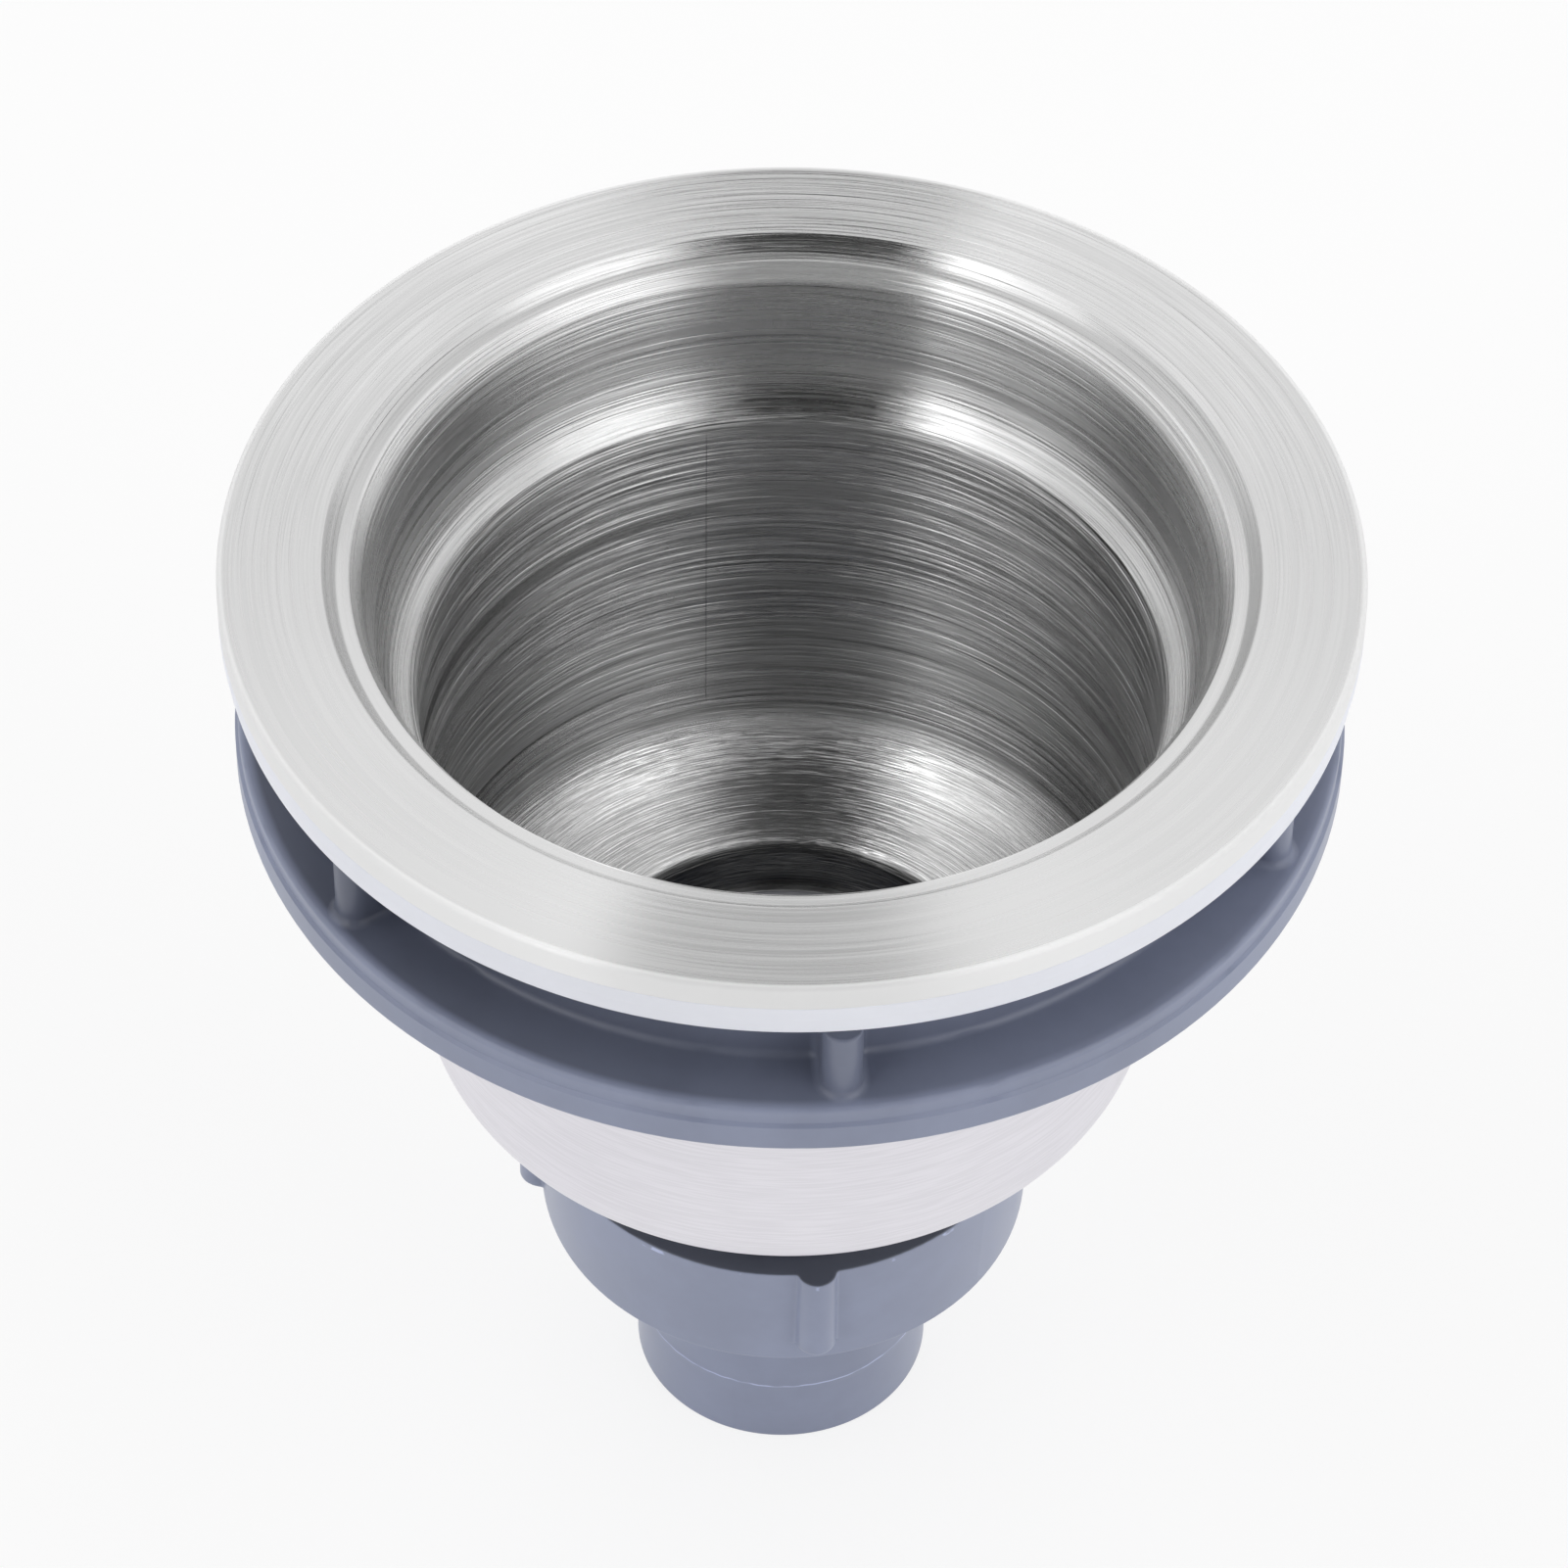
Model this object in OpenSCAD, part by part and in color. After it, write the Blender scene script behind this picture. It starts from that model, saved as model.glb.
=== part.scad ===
// Kitchen sink strainer body with its lock nut, outlet nut and tail.
// The drain's axis is Z. The height zero is the face that rests on the sink, under the white gasket.

/* [Steel sheet] */
// Thickness of the drawn steel sheet
sheet_t = 0.8; // [0.6:0.1:1.2]
// Outer diameter of the deep bowl
bowl_d = 77; // [70:0.5:90]
// Depth from the flange's top to the underside of the bowl
cup_depth = 67.1; // [55:0.1:90]
// Outer radius of the bowl's bottom corner
corner_r = 7.4; // [4:0.1:12]
// Drop of the bowl's floor from the corner to the outlet
floor_fall = 0.4; // [0:0.1:1.5]

/* [Flange and seat] */
// Width of the flat flange top
flange_w = 10.4; // [7:0.1:16]
// Height of the flange's rolled lip
lip_h = 2.8; // [2:0.1:5]
// Rounding of the flange's outer edge
edge_r = 0.9; // [0.4:0.1:1.4]
// Width of the small step inside the flat flange
step_w = 1.3; // [0.8:0.1:3]
// Drop of that step
step_h = 1.2; // [0.6:0.1:2]
// Rounding where the flange turns down into the mouth
mouth_r = 2.8; // [1.8:0.1:5]
// How far the mouth's wall flares from the seat up to the rounding
wall_flare = 1.2; // [0.4:0.1:3]
// Depth from the flange's top to the outer edge of the basket seat
seat_depth = 15.2; // [12:0.1:20]
// Radial width of the sloped shoulder between the mouth's wall and the deep wall
shoulder_w = 3.6; // [3:0.1:5]
// Fall of the shoulder from its outer edge to the deep wall
shoulder_fall = 2.9; // [1.5:0.1:4]
// Rounding of the shoulder into the deep wall
shoulder_r = 2.4; // [1.6:0.1:3]
// Radial width of the basket seat, the shoulder's part that belongs to the flange
seat_w = 1.5; // [1:0.1:2]

/* [Gasket and washers] */
// Height of the white gasket under the lip
gasket_h = 3.8; // [2.5:0.1:6]
// Bevel at the foot of the gasket
gasket_bevel = 0.3; // [0.2:0.1:1]
// Gap between the gasket's hole and the steel
gasket_gap = 1.1; // [0.5:0.1:3]
// Thickness of the rubber washer that goes under the sink
washer_t = 3; // [2:0.1:5]
// Thickness of the slip ring that the lock nut turns against
slip_t = 1.2; // [0.8:0.1:2]
// Radial width of the washer and the slip ring
washer_w = 8.9; // [6:0.1:11]
// Gap between the washers' hole and the steel
washer_gap = 0.5; // [0.5:0.1:1.5]

/* [Lock nut] */
// Wall of the threaded collar on the bowl
collar_wall = 2.1; // [1.5:0.1:3]
// Length of the threaded collar
collar_len = 23.5; // [20:0.1:30]
// Pitch of the lock nut's thread
lock_pitch = 4; // [3:0.25:5]
// Height of the lock nut's thread ridge
lock_ridge_h = 1.4; // [1.2:0.1:1.8]
// Radial clearance of the lock nut's thread
lock_gap = 0.4; // [0.3:0.05:0.6]
// Wall of the nut's threaded hub
hub_wall = 3.2; // [2.5:0.1:4]
// Wall of the nut's barrel
barrel_wall = 3.2; // [2:0.1:5]
// Height of the barrel above the nut's flange
barrel_h = 8.3; // [5:0.1:14]
// Width of the nut's flange outside the barrel
nut_flange_w = 7.5; // [6.5:0.1:14]
// Height of the nut's rim
rim_h = 5.4; // [4.5:0.1:10]
// Wall of the rim
rim_wall = 2.5; // [2:0.1:4]
// Thickness of the nut's floor
floor_t = 3; // [2:0.1:4]
// Depth of the fine step round the rim
rim_step = 0.35; // [0.1:0.05:0.6]
// Height of the lip above that fine step
rim_lip_h = 1.9; // [1.2:0.1:2.5]
// How far the grip ribs stand out from the barrel
grip_out = 5.7; // [3:0.1:6.4]
// Width of a grip rib
grip_w = 4; // [2:0.1:6]
// Number of grip ribs
grip_count = 6; // [3:1:12]
// Width of a web under the nut's flange
web_w = 1.8; // [1:0.1:3]
// Number of webs under the nut's flange
web_count = 12; // [6:1:24]

/* [Outlet] */
// Bore of the neck drawn down from the bowl's floor
neck_d = 43.2; // [36:0.1:46]
// Length of the neck under the floor
neck_h = 6.3; // [4:0.1:10]
// Rounding of the floor into the neck
neck_r = 1.5; // [1:0.1:2.5]
// Wall of the nipple's plain head round the neck
head_wall = 2.2; // [1.8:0.1:3]
// Ledge inside the nipple under the neck
ledge_w = 0.85; // [0.4:0.05:1.5]
// Wall of the nipple under its thread
nipple_wall = 1.65; // [1.2:0.05:3]
// Length of the nipple
nipple_len = 19.7; // [17:0.1:30]
// Pitch of the outlet thread
outlet_pitch = 2.309; // [1.8:0.001:2.6]
// Height of the outlet thread's ridge
outlet_ridge_h = 1.48; // [1.2:0.01:1.6]
// Radial clearance of the outlet thread
outlet_gap = 0.3; // [0.25:0.05:0.4]

/* [Outlet nut and tail] */
// Wall of the outlet nut at its foot
outlet_nut_wall = 2; // [1.5:0.1:4]
// Height of the outlet nut
outlet_nut_h = 15.2; // [13:0.1:18]
// How much wider the outlet nut is at its top, on the radius
outlet_draft = 0.8; // [0:0.1:1.5]
// Thickness of the outlet nut's inner lip
nut_lip_t = 2.2; // [1.5:0.1:3]
// Radius of a round rib on the outlet nut
key_r = 2.1; // [1:0.1:3]
// Height left plain under each round rib
key_foot = 1; // [0.5:0.1:3]
// Number of round ribs
key_count = 4; // [3:1:8]
// Thickness of the tail's seal
seal_t = 2.2; // [1.5:0.1:3]
// Radial width of the seal
seal_w = 3.6; // [2.5:0.1:5]
// Outer diameter of the tail
tail_d = 31.8; // [28:0.1:35]
// Wall of the tail
tail_wall = 1.9; // [1.5:0.1:2.5]
// Length of the tail with its flange
tail_len = 32.6; // [25:0.1:80]
// Thickness of the tail's flange
tail_flange_t = 3.6; // [3:0.1:4.5]
// Relief of the tail inside the outlet nut, on the radius
tail_relief = 0.3; // [0.2:0.05:0.5]
// Gap between the outlet nut's lip and the tail
tail_gap = 0.35; // [0.3:0.05:0.8]

/* [Hidden] */
$fn = 96;

// Colours as the photograph shows them
steel = [0.78, 0.78, 0.77];
white_rubber = [0.94, 0.95, 0.97];
black_rubber = [0.12, 0.12, 0.13];
pale_plastic = [0.86, 0.86, 0.82];
grey_plastic = [0.56, 0.60, 0.68];

// Radii of the steel, from the bowl outwards
bowl_out = bowl_d/2;
bowl_in = bowl_out - sheet_t;
seat_out = bowl_in + shoulder_w;
seat_in = seat_out - seat_w;
mouth_in = seat_out + wall_flare;
mouth_out = mouth_in + sheet_t;
flat_in = mouth_in + mouth_r + step_w;
flange_out = flat_in + flange_w;

// Heights of the steel, from the sink's face
z_top = gasket_h + lip_h;
z_step = z_top - step_h;
z_mouth = z_step - mouth_r;
z_seat = z_top - seat_depth;
seat_slope = atan(shoulder_fall/shoulder_w);
z_bottom = z_top - cup_depth;
z_land = z_bottom - floor_fall;

// The shoulder's height at a radius, and the mouth wall's outer radius at a height
function seat_z(r) = z_seat - (seat_out - r)*shoulder_fall/shoulder_w;
function mouth_wall_out(z) = mouth_out - (z_mouth - z)*wall_flare/(z_mouth - z_seat);

// Small radius that only softens an edge, and small clearances
soft = 0.4;
fit_slack = 0.1;
flush_slack = 0.15;

// Centre of the bend from the shoulder into the deep wall
shoulder_x = bowl_in + shoulder_r;
z_shoulder = seat_z(shoulder_x - shoulder_r*sin(seat_slope)) - shoulder_r*cos(seat_slope);

// Lock nut and its thread
collar_root = bowl_out + collar_wall;
collar_crest = collar_root + lock_ridge_h;
z_collar = z_shoulder;
hub_in = collar_crest + lock_gap;
hub_out = hub_in + hub_wall;
washer_in = mouth_wall_out(0) + washer_gap;
washer_out = washer_in + washer_w;
hub_shelf = 3;
slip_shelf = 1.8;
barrel_in = max(hub_in + hub_shelf, washer_in + slip_shelf);
barrel_out = barrel_in + barrel_wall;
rim_out = barrel_out + nut_flange_w;
z_barrel = -washer_t - slip_t;
z_floor = z_barrel - barrel_h;
z_rim = z_floor - rim_h;
z_hub = min(z_seat - 2*sheet_t, z_barrel - 1);
grip_phase = -84;

// Outlet nipple and its thread
neck_in = neck_d/2;
neck_out = neck_in + sheet_t;
z_neck = z_land + sheet_t - neck_h;
land_r = neck_in + neck_r + 3.5;
head_out = neck_out + head_wall;
nipple_in = neck_in - ledge_w;
nipple_root = nipple_in + nipple_wall;
nipple_crest = nipple_root + outlet_ridge_h;
z_nipple = z_land - nipple_len;
weld_w = 1.6;
head_below = 1.2;

// Outlet nut, seal and tail
nut_wall_in = nipple_crest + outlet_gap;
outlet_nut_foot = nut_wall_in + outlet_nut_wall;
outlet_nut_top = outlet_nut_foot + outlet_draft;
tail_out = tail_d/2;
tail_in = tail_out - tail_wall;
tail_flange_out = nipple_root - 0.4;
z_seal = z_nipple - seal_t;
z_tail_flange = z_seal - tail_flange_t;
z_nut_foot = z_tail_flange - nut_lip_t;
z_nut_top = z_nut_foot + outlet_nut_h;
z_tail = z_seal - tail_len;
key_phase = -82;

// Widths of a thread's ridge at its foot and its crest, as shares of the pitch
lock_base = 0.55;
lock_tip = 0.3;
outlet_base = 0.58;
outlet_tip = 0.22;

// Points on an arc
function arc(c, r, a0, a1, n = 6) =
    [for (i = [0:n]) let (a = a0 + (a1 - a0)*i/n) [c[0] + r*cos(a), c[1] + r*sin(a)]];
// A list the other way round
function turned(p) = [for (i = [len(p) - 1:-1:0]) p[i]];
// The way to the left of a direction
function left_of(a, b) = let (d = (b - a)/norm(b - a)) [-d[1], d[0]];
// A line moved to its left by t, with mitred corners
function beside(p, t) = let (e = len(p) - 1) [for (i = [0:e])
    let (m = left_of(p[max(i, 1) - 1], p[max(i, 1)]),
         n = left_of(p[min(i, e - 1)], p[min(i, e - 1) + 1]))
    p[i] + t*(m + n)/(1 + m*n)];
// The closed outline of a sheet from its shown side
function sheet(p, t) = concat(p, turned(beside(p, t)));

// Outline of a thread seen from the side, as ring ridges from z_low up to z_high
function ridges(root, crest, z_low, z_high, pitch, base_w, tip_w) =
    let (count = floor((z_high - z_low - base_w)/pitch))
    [for (i = [0:count])
        let (z = z_low + base_w/2 + i*pitch)
        each [[root, z - base_w/2], [crest, z - tip_w/2], [crest, z + tip_w/2], [root, z + base_w/2]]];

// Upper pressing: flat flange, small step, mouth and the sloped basket seat
module flange_ring() {
    shown = concat(
        [[flange_out, z_top - lip_h]],
        arc([flange_out - edge_r, z_top - edge_r], edge_r, 0, 90, 5),
        [[flat_in, z_top]],
        arc([mouth_in + mouth_r, z_mouth], mouth_r, 90, 180, 8),
        [[seat_out, z_seat], [seat_in, seat_z(seat_in)]]);
    color(steel) rotate_extrude() polygon(sheet(shown, sheet_t));
}

// Lower pressing, butt welded to the seat: shoulder, deep wall, floor and the neck drawn down from it
module deep_cup() {
    corner_in = corner_r - sheet_t;
    shown = concat(
        [[seat_in, seat_z(seat_in)]],
        arc([shoulder_x, z_shoulder], shoulder_r, 90 + seat_slope, 180, 5),
        arc([bowl_in - corner_in, z_bottom + corner_r], corner_in, 0, -90, 10),
        [[land_r, z_land + sheet_t]],
        arc([neck_in + neck_r, z_land + sheet_t - neck_r], neck_r, 90, 180, 6),
        [[neck_in, z_neck]]);
    color(steel) rotate_extrude() polygon(sheet(shown, sheet_t));
}

// White gasket between the flange and the sink
module flange_gasket() {
    under_flat = z_top - sheet_t;
    hollow_out = flange_out - sheet_t;
    color(white_rubber) rotate_extrude() polygon([
        [mouth_out + gasket_gap, 0],
        [flange_out - gasket_bevel, 0],
        [flange_out, gasket_h*0.55],
        [flange_out, gasket_h],
        [hollow_out, gasket_h],
        [hollow_out, under_flat - edge_r],
        [hollow_out - edge_r, under_flat],
        [flat_in + sheet_t, under_flat],
        [flat_in + sheet_t, gasket_h],
        [mouth_out + gasket_gap, gasket_h]]);
}

// Steel collar brazed round the deep wall, with the lock nut's thread
module thread_collar() {
    z_foot = z_collar - collar_len;
    color(steel) rotate_extrude() polygon(concat(
        [[bowl_out, z_foot],
         [collar_root - soft, z_foot],
         [collar_root, z_foot + soft]],
        ridges(collar_root, collar_crest, z_foot + 2*soft, z_collar - soft,
               lock_pitch, lock_base*lock_pitch, lock_tip*lock_pitch),
        [[collar_root, z_collar - soft],
         [collar_root - soft, z_collar],
         [bowl_out + soft, z_collar],
         [bowl_out, z_collar - soft]]));
}

// Threaded steel outlet welded round the neck
module outlet_nipple() {
    z_head = z_neck - head_below;
    z_thread = z_head - (head_out - nipple_root);
    bend_room = neck_r - sheet_t + fit_slack;
    color(steel) rotate_extrude() polygon(concat(
        [[nipple_in, z_nipple],
         [nipple_root - soft, z_nipple],
         [nipple_root, z_nipple + soft]],
        ridges(nipple_root, nipple_crest, z_nipple + 2*soft, z_thread - soft/2,
               outlet_pitch, outlet_base*outlet_pitch, outlet_tip*outlet_pitch),
        [[nipple_root, z_thread],
         [head_out, z_head],
         [head_out, z_land - weld_w],
         [head_out + weld_w, z_land],
         [neck_out + bend_room, z_land],
         [neck_out, z_land - bend_room],
         [neck_out, z_neck],
         [nipple_in, z_neck]]));
}

// Flat ring between two heights
module flat_ring(r_in, r_out, z_low, z_high) {
    rotate_extrude() polygon([
        [r_in, z_low + soft/2], [r_in + soft/2, z_low],
        [r_out - soft/2, z_low], [r_out, z_low + soft/2],
        [r_out, z_high - soft/2], [r_out - soft/2, z_high],
        [r_in + soft/2, z_high], [r_in, z_high - soft/2]]);
}

module sink_washer() {
    color(black_rubber) flat_ring(washer_in, washer_out, -washer_t, 0);
}

module slip_ring() {
    color(pale_plastic) flat_ring(washer_in, washer_out, z_barrel, -washer_t);
}

// Rib that stands out from a barrel along +X and ends in a half round
module round_rib(r_in, r_out, width, z_low, z_high) {
    translate([0, 0, z_low]) linear_extrude(z_high - z_low) polygon(concat(
        [[r_in, width/2], [r_in, -width/2]],
        arc([r_out - width/2, 0], width/2, -90, 90, 14)));
}

// Large plastic nut that clamps the sink from below
module lock_nut() {
    edge = 0.8;
    lip_out = rim_out - rim_step;
    z_line = z_floor - rim_lip_h;
    color(grey_plastic) {
        rotate_extrude() polygon(concat(
            [[barrel_in, z_barrel - soft], [barrel_in + soft, z_barrel],
             [barrel_out - soft, z_barrel], [barrel_out, z_barrel - soft]],
            arc([barrel_out + edge, z_floor + edge], edge, 180, 270, 4),
            arc([lip_out - edge, z_floor - edge], edge, 90, 0, 5),
            [[lip_out, z_line], [rim_out, z_line - rim_step]],
            [[rim_out, z_rim + soft], [rim_out - soft, z_rim],
             [rim_out - rim_wall, z_rim], [rim_out - rim_wall, z_floor - floor_t],
             [hub_out, z_floor - floor_t], [hub_out, z_rim],
             [hub_in + soft, z_rim], [hub_in, z_rim + soft],
             [hub_in, z_hub - soft], [hub_in + soft, z_hub], [barrel_in, z_hub]]));
        for (i = [0:grip_count - 1]) rotate(grip_phase + i*360/grip_count)
            round_rib(barrel_out - 1, barrel_out + grip_out, grip_w, z_floor - 1, z_barrel - flush_slack);
        for (i = [0:web_count - 1]) rotate(grip_phase + i*360/web_count)
            translate([hub_out - 1, -web_w/2, z_rim + 0.6])
                cube([rim_out - rim_wall - hub_out + 2, web_w, z_floor - floor_t - z_rim]);
    }
}

// Rubber ring between the nipple's end and the tail
module tail_seal() {
    color(black_rubber) flat_ring(tail_flange_out - seal_w, tail_flange_out, z_seal, z_nipple);
}

// Plastic nut that draws the tail up against the outlet
module outlet_nut() {
    lip_in = tail_out + tail_gap;
    z_lip = z_nut_foot + nut_lip_t;
    color(grey_plastic) {
        rotate_extrude() polygon([
            [lip_in, z_nut_foot],
            [outlet_nut_foot - soft/2, z_nut_foot],
            [outlet_nut_foot, z_nut_foot + soft/2],
            [outlet_nut_top, z_nut_top],
            [nut_wall_in + soft, z_nut_top],
            [nut_wall_in, z_nut_top - soft],
            [nut_wall_in, z_lip],
            [lip_in, z_lip]]);
        for (i = [0:key_count - 1]) rotate(key_phase + i*360/key_count)
            round_rib(outlet_nut_foot - 1, outlet_nut_foot + outlet_draft/2 + key_r, 2*key_r,
                      z_nut_foot + key_foot, z_nut_top - flush_slack);
    }
}

// Flanged plastic tail that the waste pipe or trap slips over
module tailpiece() {
    funnel = tail_flange_t + nut_lip_t - 2;
    z_relief = z_nut_foot - soft;
    color(grey_plastic) rotate_extrude() polygon([
        [tail_in, z_tail],
        [tail_out - soft/2, z_tail],
        [tail_out, z_tail + soft/2],
        [tail_out, z_relief],
        [tail_out - tail_relief, z_relief + tail_relief],
        [tail_out - tail_relief, z_tail_flange],
        [tail_flange_out, z_tail_flange],
        [tail_flange_out, z_seal],
        [tail_flange_out - seal_w - soft, z_seal],
        [tail_in, z_seal - funnel]]);
}

flange_ring();
deep_cup();
flange_gasket();
thread_collar();
outlet_nipple();
sink_washer();
slip_ring();
lock_nut();
tail_seal();
outlet_nut();
tailpiece();
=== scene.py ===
"""Kitchen sink strainer: a brushed steel drain body with its white gasket, lock nut, outlet nut and tail.

Each piece is a surface worked out with numpy on a grid of rows and columns. A row is a point of the
piece's cross section, a column is an angle round the drain's axis, and each grid point has a radius, a
height and an angle. The grid closes on itself both ways, so every piece is a closed ring.
"""

import math
from types import SimpleNamespace

import bpy
import numpy as np
from bpy.props import FloatProperty, FloatVectorProperty, IntProperty, PointerProperty
from mathutils import Matrix, Vector


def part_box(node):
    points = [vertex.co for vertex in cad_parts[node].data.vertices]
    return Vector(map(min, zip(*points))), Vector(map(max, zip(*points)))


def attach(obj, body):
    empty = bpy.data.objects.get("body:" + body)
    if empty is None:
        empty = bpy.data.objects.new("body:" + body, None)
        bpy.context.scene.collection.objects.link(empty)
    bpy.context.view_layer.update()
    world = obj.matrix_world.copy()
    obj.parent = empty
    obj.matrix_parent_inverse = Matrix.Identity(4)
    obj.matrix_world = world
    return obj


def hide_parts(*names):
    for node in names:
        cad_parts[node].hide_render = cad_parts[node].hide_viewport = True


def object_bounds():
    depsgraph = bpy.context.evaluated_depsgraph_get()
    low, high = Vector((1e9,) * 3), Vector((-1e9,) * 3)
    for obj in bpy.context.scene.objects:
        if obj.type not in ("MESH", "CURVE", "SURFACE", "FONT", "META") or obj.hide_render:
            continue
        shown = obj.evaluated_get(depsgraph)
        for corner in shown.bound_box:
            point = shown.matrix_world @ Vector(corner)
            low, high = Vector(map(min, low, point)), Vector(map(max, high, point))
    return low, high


bl_info = {
    "name": "Sink strainer",
    "version": (1, 0, 0),
    "blender": (4, 5, 0),
    "location": "View3D > Sidebar > Strainer",
    "description": "Builds a kitchen sink strainer with its nuts, seals and tail",
    "category": "Object",
}

MM = 0.001
FULL_TURN = 2 * math.pi
NEAR = 0.01 * MM  # what still counts as the same radius
GUARD = 0.12 * MM  # from a bend to the first point of the straight beside it
LOCK_PHASE, OUTLET_PHASE = math.radians(-84), math.radians(-82)  # of the nuts' ribs

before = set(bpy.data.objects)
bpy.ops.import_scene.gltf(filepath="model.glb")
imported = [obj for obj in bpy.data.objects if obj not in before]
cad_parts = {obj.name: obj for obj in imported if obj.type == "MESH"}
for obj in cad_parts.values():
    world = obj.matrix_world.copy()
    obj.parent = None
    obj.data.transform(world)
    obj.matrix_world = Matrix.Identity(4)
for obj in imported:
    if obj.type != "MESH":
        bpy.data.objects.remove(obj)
cad_low, cad_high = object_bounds()
BOX = {name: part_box(name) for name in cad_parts}


def reach(node):
    """Radius of a CAD node about the drain's axis."""
    return BOX[node][1].y


def foot(node):
    """Lowest height of a CAD node."""
    return BOX[node][0].z


def head(node):
    """Highest height of a CAD node."""
    return BOX[node][1].z


def size(text, millimetres):
    """A length that a user may change, given in millimetres."""
    return FloatProperty(name=text, default=millimetres * MM, min=0.0, unit="LENGTH", precision=5)


def count(text, value, low):
    """A number of like features."""
    return IntProperty(name=text, default=value, min=low)


def colour(text, value):
    """A colour that a user may change."""
    return FloatVectorProperty(name=text, default=value, min=0.0, max=1.0, size=3, subtype="COLOR")


class SteelSizes(bpy.types.PropertyGroup):
    """Sizes of the two steel pressings."""
    sheet: size("Steel's thickness", 0.8)
    flange_width: size("Flat flange's width", 10.4)
    edge_round: size("Flange edge's rounding", 0.45)
    lip_height: size("Rolled lip's height", 2.8)
    step_width: size("Small step's width", 1.3)
    step_drop: size("Small step's drop", 1.25)
    step_round: size("Small step's roundings", 0.5)
    land_width: size("Width of the land inside the step", 1.4)
    land_drop: size("Land's drop", 0.12)
    land_bead: size("Height of the bead at the land's edge", 0.05)
    mouth_width: size("Width from the step to the mouth's wall", 2.8)
    mouth_drop: size("Drop from the land to the mouth's corner", 2.8)
    mouth_round: size("Mouth corner's rounding", 7.4)
    wall_flare: size("Flare of the mouth's wall", 1.2)
    seat_depth: size("Basket seat's depth", 15.2)
    seat_round: size("Rounding of the wall into the seat", 9.0)
    seat_width: size("Seat's width", 1.5)
    seat_lip: size("Seat edge's height over the shoulder", 0.07)
    shoulder_width: size("Width of the shoulder and seat", 3.6)
    shoulder_fall: size("Shoulder's fall to the middle", 2.9)
    shoulder_round: size("Rounding of the shoulder into the bowl", 2.4)
    corner_round: size("Bowl corner's outer radius", 7.4)
    floor_fall: size("Fall of the bowl's floor", 0.4)
    neck_bore: size("Neck's bore", 43.2)
    neck_height: size("Neck's length", 6.3)
    neck_round: size("Rounding of the floor into the neck", 1.5)


class ThreadSizes(bpy.types.PropertyGroup):
    """Sizes of the two threads and of what carries them."""
    lock_pitch: size("Lock thread's pitch", 4.0)
    lock_ridge: size("Lock thread's height", 1.4)
    lock_gap: size("Lock thread's clearance", 0.4)
    outlet_pitch: size("Outlet thread's pitch", 2.309)
    outlet_ridge: size("Outlet thread's height", 1.48)
    outlet_gap: size("Outlet thread's clearance", 0.3)
    nipple_wall: size("Nipple's wall under its thread", 1.65)
    ledge: size("Nipple's inner ledge", 0.85)
    weld: size("Weld under the bowl", 1.6)


class SealSizes(bpy.types.PropertyGroup):
    """Sizes of the gasket and the washers."""
    gasket_bevel: size("Gasket's bevel", 0.3)
    gasket_gap: size("Gap between the gasket and the steel", 1.1)
    washer_width: size("Washer's and slip ring's width", 8.9)
    seal_width: size("Tail seal's width", 3.6)


class LockNutSizes(bpy.types.PropertyGroup):
    """Sizes of the large nut."""
    hub_wall: size("Threaded hub's wall", 3.2)
    hub_drop: size("Drop from the barrel's top to the hub's", 6.0)
    barrel_wall: size("Barrel's wall", 3.2)
    barrel_height: size("Barrel's height over the floor", 8.3)
    floor_width: size("Floor's width outside the barrel", 7.5)
    floor: size("Floor's thickness", 3.0)
    rim_wall: size("Rim's wall", 2.5)
    rim_step: size("Depth of the step round the rim", 0.35)
    rim_lip: size("Height of the rim's lip over that step", 1.9)
    rim_round: size("Rim's rounding", 0.5)
    rib_reach: size("Grip rib's reach", 5.7)
    rib_width: size("Grip rib's width", 4.0)
    web: size("Width of a web under the floor", 1.8)
    ribs: count("Grip ribs", 6, 3)


class OutletSizes(bpy.types.PropertyGroup):
    """Sizes of the outlet nut and the tail."""
    nut_wall: size("Nut's wall at its foot", 2.0)
    nut_draft: size("Nut's draft on the radius", 0.8)
    nut_lip: size("Inner lip's thickness", 2.2)
    rib_radius: size("Round rib's radius", 2.1)
    rib_foot: size("Plain height under the ribs", 3.0)
    tail: size("Tail's outer diameter", 31.8)
    tail_wall: size("Tail's wall", 1.9)
    tail_flange: size("Tail flange's thickness", 3.6)
    tail_gap: size("Gap between the nut and the tail", 0.35)
    mould_line: size("Mould line's height on the tail", 8.8)
    ribs: count("Round ribs", 4, 3)


class Finish(bpy.types.PropertyGroup):
    """Colours of the materials and the floor."""
    steel: colour("Brushed steel", (0.68, 0.68, 0.68))
    bowl_steel: colour("Turned steel in the bowl", (0.55, 0.55, 0.55))
    outer_steel: colour("Satin steel outside", (0.80, 0.785, 0.83))
    plain_steel: colour("Threaded steel", (0.55, 0.55, 0.56))
    gasket: colour("White gasket", (0.86, 0.875, 0.94))
    rubber: colour("Black rubber", (0.018, 0.018, 0.02))
    slip_ring: colour("Slip ring", (0.70, 0.70, 0.63))
    plastic: colour("Blue grey plastic", (0.255, 0.284, 0.392))
    floor: colour("Studio floor", (0.96, 0.96, 0.96))


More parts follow.
